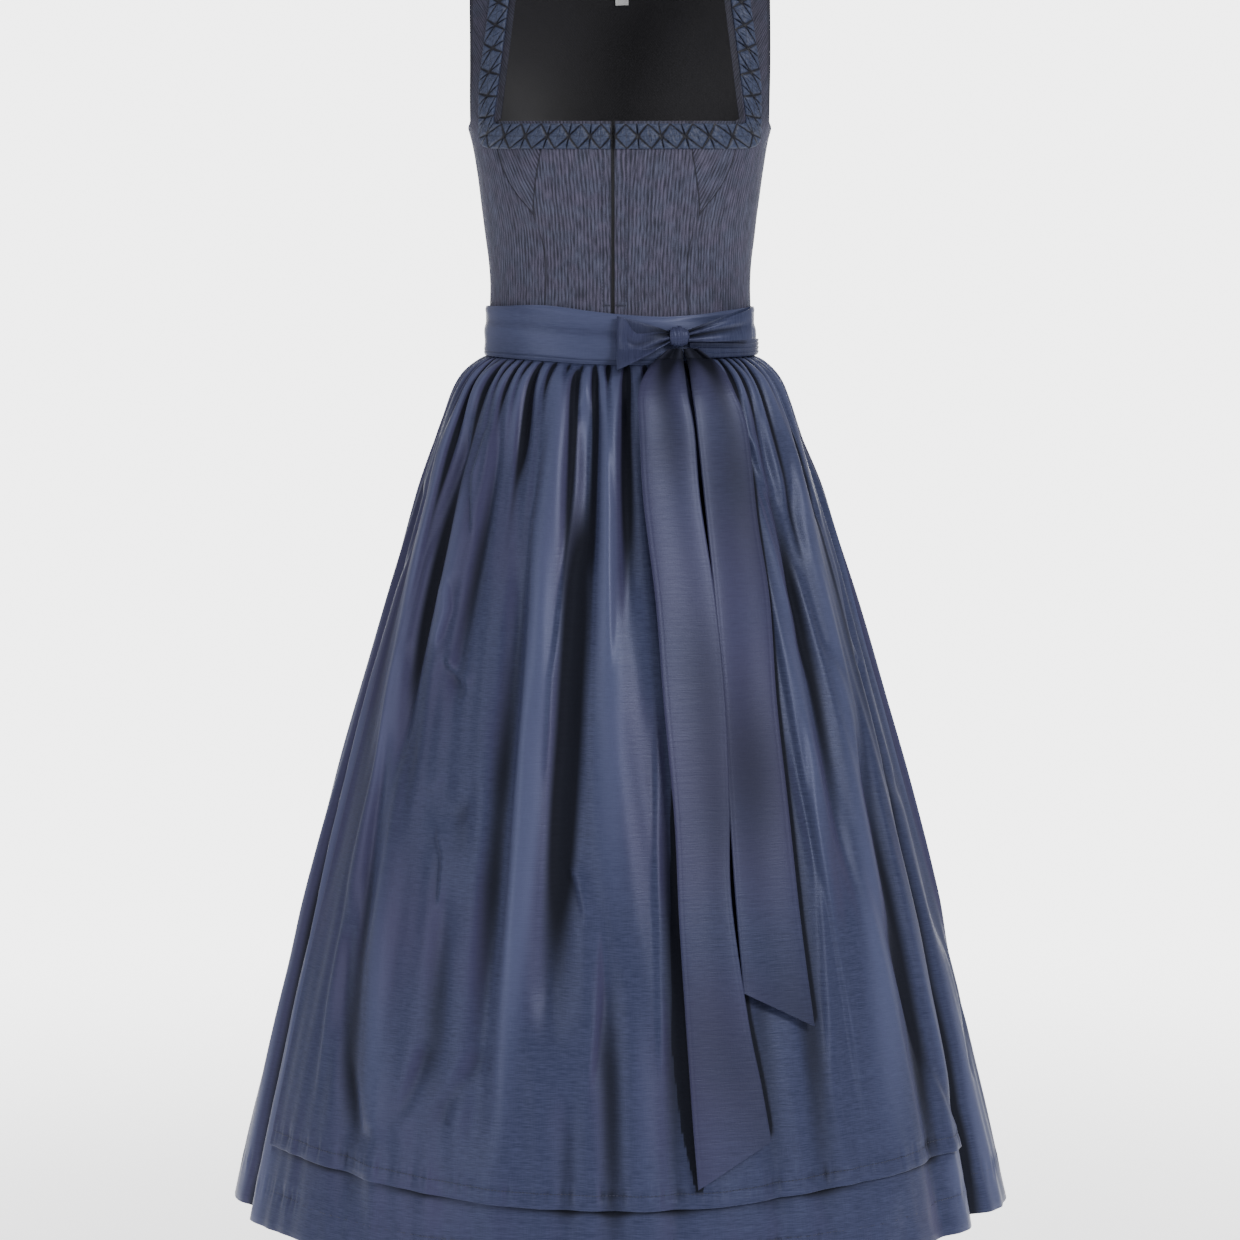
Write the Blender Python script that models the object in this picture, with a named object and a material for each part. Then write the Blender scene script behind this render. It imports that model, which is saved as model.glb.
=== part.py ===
"""A dirndl dress with its apron and bow, worn open and hollow, in metres with +Z up.

The origin is the middle of the line that joins the undersides of the two shoulder straps.
The front faces -Y. Every piece of cloth is a closed wall between an outer and an inner sheet
of points. A turn is an angle round the body, 0 at the middle of the front and growing
towards +X, and a back piece measures its turn from the middle of the back instead.
"""
import math

import bpy
import numpy as np

# gaps and thicknesses, a slanting seam having more than half the gap on each side
SEAM_GAP = 0.0003
SLANT_GAP_SHARE = 0.7
BODICE_WALL = 0.0013
LINING_WALL = 0.0010
LABEL_GAP = 0.0014
SKIRT_WALL = 0.0014
APRON_WALL = 0.0012
APRON_GAP = 0.0005
APRON_HANG = 0.0025
RIBBON_WALL = 0.0012

# bodice: heights, half widths and depths
WAIST_SEAM = -0.3925
UNDERARM = -0.1986
NECKLINE = -0.1864
BUST_LEVEL = -0.2350
BLADE_LEVEL = -0.1700
BUST_DEPTH = 0.1250
BLADE_DEPTH = 0.1080
STRAP_OUTER = 0.1466
STRAP_MIDDLE = 0.1200
SHOULDER_SLOPE = 0.35
NECK_HALF = 0.0923
NECK_SPREAD = 0.1244
BACK_NECK_DROP = 0.034
BACK_NECK_SQUARENESS = 5
FRONT_MIDDLE = -0.0035
SLIT_CENTRE = -0.0070
SLIT_HALF = 0.0013
CUP_CENTRE = 0.078
CUP_HALF_WIDTH = 0.042
CUP_HALF_HEIGHT = 0.045
CUP_FULLNESS = 0.006
LABEL_WIDTH = 0.0130
LABEL_MIDDLE = 0.0020
LABEL_TOP = -0.042
LABEL_FOOT = -0.076
TAPE_HALF_WIDTH = 0.010
TAPE_BELOW_NECKLINE = 0.004
PANEL_CELLS = 5
WEDGE_CELLS = 3
WEDGE_FOOT = -0.2755
WEDGE_TIP = 0.0010

# waistband, skirt and apron
BAND_TOP = -0.3695
BAND_BOTTOM = -0.4165
BAND_HALF_WIDTH = 0.1304
BAND_HALF_DEPTH = 0.0994
BAND_SIDE_SPREAD = 0.0016
BAND_FRONT_SPREAD = 0.0011
BAND_SQUARENESS = 2.3
BAND_COLUMNS = 44
SKIRT_TOP = -0.4168
SKIRT_HALF_WIDTH = 0.1313
SKIRT_HALF_DEPTH = 0.0995
SKIRT_LENGTH = 0.845
SKIRT_TUCK = 0.03
TOP_SQUARENESS = 0.3
TOP_SQUARE_FADE = 0.05
PUFF = 0.0255
PUFF_FADE = 0.016
FLARE = 0.3225
FLARE_BEND = 0.0565
GATHERS = 68
GATHER_HEIGHT = 0.0030
GATHER_FADE = 0.060
GATHER_START = 0.006
GATHER_CREASE = 22
SKIRT_IN_BAND = 0.0009
LEAN_DEGREES = 3.0
LEAN_LOSS_DEGREES = 6.5
APRON_LENGTH = 0.786
APRON_SIDE_RISE = 0.019
APRON_TOP_GAP = 0.0006
APRON_RISE_SHARE = 0.6
APRON_COLUMNS = 26
FOLD_STRENGTH = 1.25
FOLD_FADE = 0.08

# folds that no photo shows: their number, turns in degrees and heights in millimetres
HIDDEN_FOLDS = 14
HIDDEN_FIRST = 84.0
HIDDEN_PITCH = 15.0
HIDDEN_VALLEY = -6.5
HIDDEN_RIDGE = 3.0

# the bow, with the start and end of the wrap beside it as a place across and a turn in degrees
BAND_INNER = 0.0004
WRAP_START = 0.0672
WRAP_END = 84
WRAP_COLUMNS = 12
WRAP_TOP_FIRST = -0.3955
WRAP_TOP_LAST = -0.3990
WRAP_FOOT = -0.4160
WRAP_OUT = 0.0041
WRAP_WALL = 0.0016
WRAP_LAYER = 0.0007
WRAP_LAYERS = 3
WRAP_FIRST_LAYER = 0.35
BOW_HALF_WIDTH = 0.1345
KNOT_X = 0.0548
KNOT_Z = -0.3945
KNOT_HALF_WIDTH = 0.0088
KNOT_HALF_HEIGHT = 0.0108
KNOT_NEAR = 0.0042
KNOT_FAR = 0.0185
KNOT_RINGS = 7
KNOT_SIDES = 12
KNOT_ROUNDING = 0.7
LOOP_LEAN = 1.15
LOOP_LEAN_START = 0.010
LOOP_STEPS = 15
LOOP_ROOT_HALF = 0.0052
LOOP_THICK = 0.0060
LOOP_PUFF = 0.0070
LOOP_FLARE = 0.0035
LOOP_ROUNDING = 0.8
LOOP_WIDENING = 0.9
TAIL_WAVE = 0.0016

# side of the knot, root and reach from its middle, half width and rise of the end, distance out
LEFT_LOOP = (-1, 0.0088, 0.0575, 0.0255, -0.0053, 0.0067)
RIGHT_LOOP = (1, 0.0083, 0.0660, 0.0155, 0.0117, 0.0085)

# the pleated ribbon
TRIM_GAP = 0.0010
TRIM_OFFSET = 0.0063
TRIM_WIDTH = 0.0186
TRIM_TOP = -0.1892
TRIM_LOWER = -0.2131
TRIM_CORNER = 0.1360
TRIM_SLIT_GAP = 0.0004
STRAP_UNITS = 11
FRONT_UNITS = 6

# linear colours
BODICE_COLOUR = (0.10, 0.11, 0.16)
TAFFETA_COLOUR = (0.085, 0.105, 0.20)
TRIM_COLOUR = (0.055, 0.075, 0.16)
LINING_COLOUR = (0.018, 0.018, 0.022)
LABEL_COLOUR = (0.8, 0.8, 0.8)
BODICE_ROUGHNESS = 0.6
TAFFETA_ROUGHNESS = 0.38
LINING_ROUGHNESS = 0.55
LABEL_ROUGHNESS = 0.7

# height, half width, front depth, back depth, squareness of the ring
TORSO = np.array([
    (-0.3925, 0.1300, 0.0985, 0.0985, 2.30),
    (-0.3700, 0.1296, 0.0985, 0.0980, 2.30),
    (-0.3476, 0.1291, 0.0992, 0.0980, 2.30),
    (-0.3200, 0.1308, 0.1040, 0.0985, 2.32),
    (-0.3020, 0.1329, 0.1090, 0.0995, 2.35),
    (-0.2720, 0.1362, 0.1190, 0.1022, 2.42),
    (-0.2350, 0.1408, 0.1250, 0.1052, 2.55),
    (-0.1986, 0.1480, 0.1250, 0.1074, 2.75),
    (-0.1864, 0.1520, 0.1250, 0.1079, 2.82),
    (-0.1650, 0.1570, 0.1250, 0.1080, 2.88),
    (-0.1400, 0.1630, 0.1250, 0.1080, 2.90),
    (-0.1100, 0.1670, 0.1250, 0.1080, 2.90),
    (-0.0800, 0.1690, 0.1250, 0.1080, 2.90),
    (0.0000, 0.1700, 0.1250, 0.1080, 2.90),
])

# height, seam between centre front and side front, neckline edge of the bust insert
BUST_SEAM = np.array([
    (-0.3925, 0.0713, 0.0713),
    (-0.3052, 0.0713, 0.0713),
    (-0.2755, 0.0795, 0.0800),
    (-0.2550, 0.0775, 0.0950),
    (-0.2350, 0.0745, 0.1065),
    (-0.2131, 0.0715, 0.1140),
    (-0.1864, 0.0706, 0.1149),
])

# height, inner edge of the back strap carried down the back
BACK_STRAP = np.array([(-0.3925, 0.085), (-0.1986, 0.100), (-0.1000, 0.099), (0.0000, 0.0923)])

# turn at the top and at the hem in degrees, depth where it starts and ends, half width in
# degrees, height in millimetres (a valley is negative)
FRONT_FOLDS = np.array([
    (-10.0, -12.5, 0.00, 0.66, 3.4, -9.0),
    (-2.5, 1.5, 0.02, 0.60, 4.2, 4.0),
    (-17.0, -20.5, 0.02, 0.84, 4.2, 4.0),
    (-25.5, -22.5, 0.18, 0.76, 3.0, -6.0),
    (-29.0, -29.0, 0.00, 0.13, 2.4, -5.0),
    (-67.0, -40.5, 0.02, 0.84, 5.0, 6.0),
    (-55.5, -49.0, 0.02, 0.42, 3.6, -8.0),
    (-66.0, -44.0, 0.34, 0.84, 3.6, -7.0),
    (-49.0, -46.0, 0.04, 0.38, 3.4, 3.0),
    (-37.0, -43.0, 0.04, 0.36, 2.6, -4.0),
    (-31.6, -31.6, 0.38, 0.50, 3.0, -5.0),
    (-38.5, -29.0, 0.46, 0.80, 3.2, -4.5),
    (-31.0, -30.0, 0.50, 0.82, 3.4, 2.5),
    (-4.0, -0.8, 0.52, 0.90, 2.6, -5.0),
    (-8.5, -8.0, 0.64, 0.86, 2.2, -3.0),
    (2.0, 3.5, 0.00, 0.26, 2.4, -5.0),
    (11.0, 12.0, 0.10, 0.90, 3.2, -3.0),
    (24.0, 25.0, 0.08, 0.90, 3.6, -4.0),
    (34.0, 33.0, 0.04, 0.90, 3.4, -4.5),
    (48.0, 46.0, 0.03, 0.52, 2.8, -4.5),
    (45.0, 40.0, 0.10, 0.56, 3.2, 2.5),
    (62.0, 45.0, 0.03, 0.86, 5.4, 5.0),
    (60.0, 58.0, 0.34, 0.90, 3.4, -6.5),
    (-76.0, -77.5, 0.20, 0.95, 3.4, -5.0),
    (-76.0, -77.5, 0.48, 0.95, 3.4, -4.0),
    (-76.0, -77.5, 0.62, 0.95, 3.4, -5.0),
    (-76.0, -77.5, 0.72, 0.95, 3.6, -5.0),
    (73.5, 72.5, 0.20, 0.95, 3.6, -5.0),
    (73.5, 72.5, 0.42, 0.95, 3.8, -5.0),
    (73.5, 72.5, 0.55, 0.95, 4.2, -6.0),
    (73.5, 72.5, 0.67, 0.95, 4.6, -7.0),
])

# height and place across of a tail's left edge, the same of its right edge, distance out from
# the skirt's plain ring
FRONT_TAIL = np.array([
    (-0.4062, 0.0470, -0.4062, 0.0600, 0.0140),
    (-0.4250, 0.0270, -0.4250, 0.0620, 0.0168),
    (-0.4480, 0.0175, -0.4480, 0.0650, 0.0172),
    (-0.4820, 0.0185, -0.4830, 0.0715, 0.0160),
    (-0.5480, 0.0223, -0.5490, 0.0771, 0.0140),
    (-0.6410, 0.0337, -0.6430, 0.0912, 0.0135),
    (-0.7340, 0.0411, -0.7360, 0.1004, 0.0135),
    (-0.8450, 0.0514, -0.8290, 0.1039, 0.0135),
    (-0.9410, 0.0559, -0.9200, 0.1054, 0.0135),
    (-1.0650, 0.0642, -1.0310, 0.1211, 0.0135),
    (-1.1280, 0.0687, -1.0910, 0.1332, 0.0130),
    (-1.1830, 0.0733, -1.1430, 0.1425, 0.0125),
])
BACK_TAIL = np.array([
    (-0.4062, 0.0615, -0.4062, 0.0760, 0.0088),
    (-0.4250, 0.0665, -0.4250, 0.0980, 0.0104),
    (-0.4480, 0.0695, -0.4480, 0.1110, 0.0106),
    (-0.4830, 0.0740, -0.4850, 0.1235, 0.0098),
    (-0.5680, 0.0829, -0.5700, 0.1327, 0.0085),
    (-0.6430, 0.0904, -0.6460, 0.1440, 0.0085),
    (-0.7370, 0.0977, -0.7400, 0.1501, 0.0085),
    (-0.8290, 0.1030, -0.8330, 0.1601, 0.0085),
    (-0.9220, 0.1093, -0.9450, 0.1719, 0.0085),
    (-1.0070, 0.1166, -1.0430, 0.1848, 0.0085),
])

# height, outer face of the waistband outside its seam line
BAND_PROFILE = np.array([
    (-0.3695, 0.0026),
    (-0.3795, 0.0036),
    (-0.4085, 0.0036),
    (-0.4165, 0.0029),
])

# relief over the ribbon's plain thickness, from edge to edge, in millimetres
TRIM_PINCH = np.array([0.9, 0.5, -0.3, 0.5, 0.9])
TRIM_DIAMOND = np.array([-0.2, 0.8, 1.3, 0.8, -0.2])

# heights of the rows of points, and depths of the rows of the skirt
BODICE_ROWS = np.array([-0.3925, -0.3500, -0.3052, -0.2755, -0.2550, -0.2350, -0.2131, -0.1986,
                        -0.1864])
STRAP_ROWS = np.array([-0.172, -0.150, -0.120, -0.088, -0.058, -0.031, -0.011, 0.0])
BACK_ROWS = np.array([-0.3925, -0.350, -0.305, -0.255, -0.1986, -0.165, -0.130, -0.095,
                      -0.065, -0.038, -0.014, 0.0])
SKIRT_DEPTHS = np.array([0.0004, 0.010, 0.028, 0.058, 0.110, 0.185, 0.280, 0.395, 0.515, 0.640,
                         0.786, 0.845])


def clear_scene():
    for thing in list(bpy.data.objects):
        bpy.data.objects.remove(thing, do_unlink=True)


def read_table(at, places, values):
    """Read a table smoothly, by cubic pieces whose slopes come from the neighbouring rows."""
    slopes = np.gradient(values, places)
    at = np.clip(at, places[0], places[-1])
    row = np.clip(np.searchsorted(places, at, side="right") - 1, 0, len(places) - 2)
    step = places[row + 1] - places[row]
    t = (at - places[row]) / step
    start = (1 + 2 * t) * (1 - t) ** 2 * values[row] + t * (1 - t) ** 2 * step * slopes[row]
    end = t * t * (3 - 2 * t) * values[row + 1] + t * t * (t - 1) * step * slopes[row + 1]
    return start + end


def ease(t):
    t = np.clip(t, 0.0, 1.0)
    return t * t * (3 - 2 * t)


def torso_ring(height):
    """Half width of the torso at a height, and the squareness of its ring."""
    half = read_table(height, TORSO[:, 0], TORSO[:, 1])
    square = read_table(height, TORSO[:, 0], TORSO[:, 4])
    return half, square


def torso_depth(height, back):
    """Depth from the side seam, and depth times its slope. Above the bust or the shoulder
    blades the profile is a quarter ellipse that closes over the shoulder."""
    level, full, column = (BLADE_LEVEL, BLADE_DEPTH, 3) if back else (BUST_LEVEL, BUST_DEPTH, 2)
    low = read_table(height, TORSO[:, 0], TORSO[:, column])
    low_slope = (read_table(height + 0.001, TORSO[:, 0], TORSO[:, column]) - low) / 0.001
    rise = np.clip((height - level) / -level, 0.0, 1.0)
    arch = full * np.sqrt(np.maximum(1 - rise ** 2, 0.0))
    above = height > level
    depth = np.where(above, arch, low)
    return depth, np.where(above, full ** 2 * rise / level, low * low_slope)


def turn_at(across, height):
    """Turn at which the torso's ring has a given half width."""
    half, square = torso_ring(height)
    return np.arcsin(np.clip(np.abs(across) / half, 0, 1) ** (square / 2)) * np.sign(across)


def torso(turn, height, out=0.0, back=False):
    """Point of the bodice's outer face, moved out along the normal of that face."""
    turn, height = np.broadcast_arrays(np.asarray(turn, float), np.asarray(height, float))
    half, square = torso_ring(height)
    depth, depth_slope = torso_depth(height, back)
    across = np.abs(np.sin(turn)) ** (2 / square)
    along = np.abs(np.cos(turn)) ** (2 / square)
    side = np.sign(np.sin(turn))
    facing = 1.0 if back else -1.0
    normal = np.stack([across ** (square - 1) * depth ** 2 / half * side,
                       along ** (square - 1) * depth * facing,
                       -along ** square * depth_slope], axis=-1)
    normal = normal / np.maximum(np.linalg.norm(normal, axis=-1, keepdims=True), 1e-9)
    x = half * across * side
    y = depth * along * facing
    rise = np.clip((height - BLADE_LEVEL) / -BLADE_LEVEL, 0, 1)
    spread = STRAP_MIDDLE - np.clip(np.abs(x), NECK_HALF, STRAP_OUTER)
    z = height + SHOULDER_SLOPE * spread * rise ** 2
    lift = out + 0.0
    if not back:
        cup = np.exp(-((np.abs(x - FRONT_MIDDLE) - CUP_CENTRE) / CUP_HALF_WIDTH) ** 2
                     - ((height - BUST_LEVEL) / CUP_HALF_HEIGHT) ** 2)
        lift = lift + CUP_FULLNESS * cup
    lift = np.broadcast_to(lift, x.shape)
    point = np.stack([x, y + facing * SEAM_GAP / 2, z], axis=-1)
    return point + normal * lift[..., None]


def skirt_ring(depth):
    """Half width, half depth and squareness of the skirt's ring below the band."""
    below = np.maximum(depth, 0)
    flare = (PUFF * (1 - np.exp(-below / PUFF_FADE)) + FLARE * below - FLARE_BEND * below ** 2)
    tuck = SKIRT_TUCK * np.minimum(depth, 0)
    square = 2 + TOP_SQUARENESS * np.exp(-below / TOP_SQUARE_FADE)
    return SKIRT_HALF_WIDTH + flare + tuck, SKIRT_HALF_DEPTH + flare + tuck, square


def hidden_folds():
    """Folds of the sides and the back: valleys at an even pitch with a ridge between two, all
    made uneven by sines of the fold's number."""
    rows = []
    for k in range(HIDDEN_FOLDS):
        turn = HIDDEN_FIRST + HIDDEN_PITCH * k + 3.0 * math.sin(2.1 * k + 0.4)
        drift = 3.0 * math.sin(1.3 * k)
        half_width = 4.0 + math.cos(1.7 * k)
        start = 0.02 + 0.09 * (k % 3)
        end = 0.62 + 0.25 * ((k * 2) % 3)
        valley = HIDDEN_VALLEY + 2.0 * math.sin(1.9 * k)
        ridge = HIDDEN_RIDGE + 1.2 * math.cos(2.3 * k)
        between = turn + HIDDEN_PITCH / 2
        rows.append((turn, turn + drift, start, end, half_width, valley))
        rows.append((between, between - 0.5, start + 0.04, end, half_width + 0.5, ridge))
    return np.array(rows)


def fold_height(turn, depth):
    """Sum of the folds: each is a bell across and rises and fades down its length."""
    total = np.zeros(np.broadcast(turn, depth).shape)
    for top, low, start, end, width, height in np.concatenate([FRONT_FOLDS, hidden_folds()]):
        centre = top + (low - top) * depth / SKIRT_LENGTH
        apart = (np.degrees(turn) - centre + 180) % 360 - 180
        fade = min(FOLD_FADE, (end - start) / 2.5)
        along = ease((depth - start) / fade) * ease((end - depth) / fade)
        total = total + FOLD_STRENGTH * height / 1000 * along * np.exp(-(apart / width) ** 2)
    return total


def gather_height(turn, depth):
    """Small gathers under the band, which die away downwards."""
    start = ease((depth + 0.001) / GATHER_START)
    fade = np.exp(-np.maximum(depth, 0) / GATHER_FADE)
    return GATHER_HEIGHT * start * fade * np.cos(GATHERS * turn)


def skirt(turn, depth, out=0.0):
    """Point of the skirt's outer face. Its columns lean towards the front near the hem."""
    turn, depth = np.broadcast_arrays(np.asarray(turn, float), np.asarray(depth, float))
    half, deep, square = skirt_ring(depth)
    lean = np.radians(LEAN_DEGREES - LEAN_LOSS_DEGREES * np.clip(depth / SKIRT_LENGTH, 0, 1))
    angle = turn + lean * np.sin(turn)
    x = half * np.abs(np.sin(angle)) ** (2 / square) * np.sign(np.sin(angle))
    y = -deep * np.abs(np.cos(angle)) ** (2 / square) * np.sign(np.cos(angle))
    normal = np.stack([deep * np.sin(angle), -half * np.cos(angle), np.zeros(x.shape)], axis=-1)
    normal /= np.linalg.norm(normal, axis=-1, keepdims=True)
    lift = out + fold_height(turn, depth) + gather_height(turn, depth)
    return np.stack([x, y, SKIRT_TOP - depth], axis=-1) + normal * lift[..., None]


def band_point(turn, height, out):
    """Point round the waist, a distance outside the seam of bodice and skirt."""
    turn, height = np.broadcast_arrays(np.asarray(turn, float), np.asarray(height, float))
    lower = np.clip((height - BAND_TOP) / (BAND_BOTTOM - BAND_TOP), 0, 1)
    half = BAND_HALF_WIDTH + BAND_SIDE_SPREAD * lower
    deep = BAND_HALF_DEPTH + BAND_FRONT_SPREAD * lower
    power = 2 / BAND_SQUARENESS
    across = np.abs(np.sin(turn)) ** power * np.sign(np.sin(turn))
    along = np.abs(np.cos(turn)) ** power * np.sign(np.cos(turn))
    normal = np.stack([deep * np.sin(turn), -half * np.cos(turn), np.zeros(turn.shape)], axis=-1)
    normal /= np.linalg.norm(normal, axis=-1, keepdims=True)
    point = np.stack([half * across, -deep * along, height], axis=-1)
    return point + normal * np.broadcast_to(out, turn.shape)[..., None]


def band_turn(across):
    """Turn at a distance across, on the ring where the bow lies."""
    share = abs(across) / BOW_HALF_WIDTH
    return np.arcsin(share ** (BAND_SQUARENESS / 2)) * np.sign(across)


def finish(name, colour, roughness):
    material = bpy.data.materials.new(name + "_cloth")
    material.use_nodes = True
    shader = material.node_tree.nodes["Principled BSDF"]
    shader.inputs["Base Color"].default_value = (*colour, 1.0)
    shader.inputs["Roughness"].default_value = roughness
    shader.inputs["Metallic"].default_value = 0.0
    return material


def between(first, second):
    """Triangles that join two rows of point numbers."""
    faces = []
    for k in range(len(first) - 1):
        faces.append((first[k], first[k + 1], second[k + 1]))
        faces.append((first[k], second[k + 1], second[k]))
    return faces


def closed_wall(name, outer, inner, colour, roughness, ring=False, crease=50):
    """One closed body between two sheets of points that have the same rows and columns.
    Edges that bend by more than the crease angle in degrees are shaded sharp."""
    rows, columns = outer.shape[:2]
    count = rows * columns
    points = np.concatenate([outer.reshape(-1, 3), inner.reshape(-1, 3)])
    near = np.arange(count).reshape(rows, columns)
    if ring:
        near = np.concatenate([near, near[:, :1]], axis=1)
    far = near + count
    faces = []
    for k in range(rows - 1):
        faces += between(near[k], near[k + 1])
    faces += [(a + count, c + count, b + count) for a, b, c in faces]
    faces += between(far[0], near[0]) + between(near[-1], far[-1])
    if not ring:
        faces += between(near[:, 0], far[:, 0]) + between(far[:, -1], near[:, -1])
    corners = points[np.array(faces)]
    volume = np.einsum("ij,ij->i", corners[:, 0], np.cross(corners[:, 1], corners[:, 2])).sum()
    if volume < 0:
        faces = [(a, c, b) for a, b, c in faces]
    mesh = bpy.data.meshes.new(name)
    mesh.from_pydata(points.tolist(), [], [tuple(int(i) for i in face) for face in faces])
    mesh.validate()
    mesh.shade_smooth()
    mesh.set_sharp_from_angle(angle=math.radians(crease))
    mesh.materials.append(finish(name, colour, roughness))
    thing = bpy.data.objects.new(name, mesh)
    bpy.context.collection.objects.link(thing)
    return thing


def spread(left, right, cells):
    """Rows of turns from a left to a right edge."""
    share = np.linspace(0, 1, cells + 1)
    return left[:, None] + (right - left)[:, None] * share


def bodice_panel(name, turns, heights, back=False):
    outer = torso(turns, heights, 0.0, back)
    inner = torso(turns, heights, -BODICE_WALL, back)
    return closed_wall(name, outer, inner, BODICE_COLOUR, BODICE_ROUGHNESS)


def bust_line(heights, column):
    return read_table(heights, BUST_SEAM[:, 0], BUST_SEAM[:, column])


def front_pieces():
    """Centre fronts, bust inserts and side fronts, one of each on both sides."""
    half_gap = SEAM_GAP * SLANT_GAP_SHARE
    rows = BODICE_ROWS
    upper = rows[rows >= WEDGE_FOOT]
    all_rows = np.concatenate([rows, STRAP_ROWS])
    for side, word in ((-1, "left"), (1, "right")):
        slit = SLIT_CENTRE + side * SLIT_HALF
        seam = FRONT_MIDDLE + side * (bust_line(rows, 1) - half_gap)
        slit_turn = turn_at(np.full(len(rows), slit), rows)
        turns = spread(slit_turn, turn_at(seam, rows), PANEL_CELLS)
        bodice_panel("front_" + word, turns, rows[:, None])

        inner_edge = FRONT_MIDDLE + side * (bust_line(upper, 1) + half_gap)
        outer_edge = FRONT_MIDDLE + side * (bust_line(upper, 2) - half_gap)
        outer_edge[0] = inner_edge[0] + side * WEDGE_TIP
        turns = spread(turn_at(inner_edge, upper), turn_at(outer_edge, upper), WEDGE_CELLS)
        bodice_panel("bust_wedge_" + word, turns, upper[:, None])

        inner_edge = FRONT_MIDDLE + side * (bust_line(rows, 2) + half_gap)
        inner_edge[rows == WEDGE_FOOT] += side * (WEDGE_TIP + SEAM_GAP / 2)
        strap_edge = side * (NECK_HALF - NECK_SPREAD * STRAP_ROWS)
        inner_turn = turn_at(np.concatenate([inner_edge, strap_edge]), all_rows)
        turns = spread(inner_turn, armhole_turn(side, all_rows), PANEL_CELLS)
        bodice_panel("side_front_" + word, turns, all_rows[:, None])


def armhole_turn(side, heights):
    """Side seam up to the underarm, then the armhole edge of the strap."""
    edge = turn_at(np.full(len(heights), side * STRAP_OUTER), heights)
    return np.where(heights <= UNDERARM, side * math.pi / 2, edge)


def back_grid():
    """Turns and heights of the back: straps at both sides and a rounded neck between."""
    strap_line = turn_at(read_table(BACK_ROWS, BACK_STRAP[:, 0], BACK_STRAP[:, 1]), BACK_ROWS)
    edge = armhole_turn(1, BACK_ROWS)
    neck = np.linspace(-1, 1, 9)
    left = spread(-edge, -strap_line, 3)[:, :-1]
    right = spread(strap_line, edge, 3)[:, 1:]
    turns = np.concatenate([left, strap_line[:, None] * neck, right], axis=1)
    drop = np.zeros(turns.shape[1])
    first = left.shape[1]
    drop[first:first + len(neck)] = BACK_NECK_DROP * (1 - np.abs(neck) ** BACK_NECK_SQUARENESS)
    stretch = (-drop - WAIST_SEAM) / -WAIST_SEAM
    heights = WAIST_SEAM + (BACK_ROWS[:, None] - WAIST_SEAM) * stretch
    return turns, heights


def back_pieces():
    turns, heights = back_grid()
    bodice_panel("back", turns, heights, back=True)
    outer = torso(turns, heights, -BODICE_WALL - SEAM_GAP, True)
    inner = torso(turns, heights, -BODICE_WALL - SEAM_GAP - LINING_WALL, True)
    closed_wall("back_lining", outer, inner, LINING_COLOUR, LINING_ROUGHNESS)
    heights = np.linspace(LABEL_FOOT, LABEL_TOP, 3)[:, None]
    across = LABEL_MIDDLE + LABEL_WIDTH / 2 * np.array([[1.0, 0.0, -1.0]])
    turns = turn_at(across, heights)
    label_out = -BODICE_WALL - LINING_WALL - SEAM_GAP - LABEL_GAP
    outer = torso(turns, heights, label_out, True)
    inner = torso(turns, heights, label_out - LINING_WALL, True)
    closed_wall("neck_label", outer, inner, LABEL_COLOUR, LABEL_ROUGHNESS)


def zip_tape():
    rows = BODICE_ROWS
    heights = np.concatenate([rows[:-1], [NECKLINE - TAPE_BELOW_NECKLINE]])
    left = turn_at(np.full(len(rows), SLIT_CENTRE - TAPE_HALF_WIDTH), heights)
    right = turn_at(np.full(len(rows), SLIT_CENTRE + TAPE_HALF_WIDTH), heights)
    turns = spread(left, right, 2)
    tape_out = -BODICE_WALL - SEAM_GAP
    outer = torso(turns, heights[:, None], tape_out)
    inner = torso(turns, heights[:, None], tape_out - LINING_WALL)
    closed_wall("front_zip_tape", outer, inner, LINING_COLOUR, LINING_ROUGHNESS)


def trim_edges(side):
    """Inner and outer edge of the ribbon in width and height, from shoulder to zip."""
    slit = SLIT_CENTRE + side * (SLIT_HALF + TRIM_SLIT_GAP)
    share = np.linspace(0, 1, 60)
    middle = NECK_HALF - NECK_SPREAD * TRIM_LOWER * share + TRIM_OFFSET + TRIM_WIDTH / 2
    track = torso(turn_at(middle, TRIM_LOWER * share), TRIM_LOWER * share)
    length = np.concatenate([[0], np.cumsum(np.linalg.norm(np.diff(track, axis=0), axis=1))])
    even = np.interp(np.linspace(0, length[-1], 2 * STRAP_UNITS + 1), length, share)
    level = np.linspace(0, 1, 2 * FRONT_UNITS + 1)[1:]
    edges = []
    for height, offset in ((TRIM_TOP, TRIM_OFFSET), (TRIM_LOWER, TRIM_OFFSET + TRIM_WIDTH)):
        down = height * even
        x = np.minimum(NECK_HALF - NECK_SPREAD * down + offset, TRIM_CORNER)
        corner = x[-1]
        x = np.concatenate([side * x, side * corner + (slit - side * corner) * level])
        z = np.concatenate([down, np.full(len(level), height)])
        edges.append((x, z))
    return edges


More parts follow.
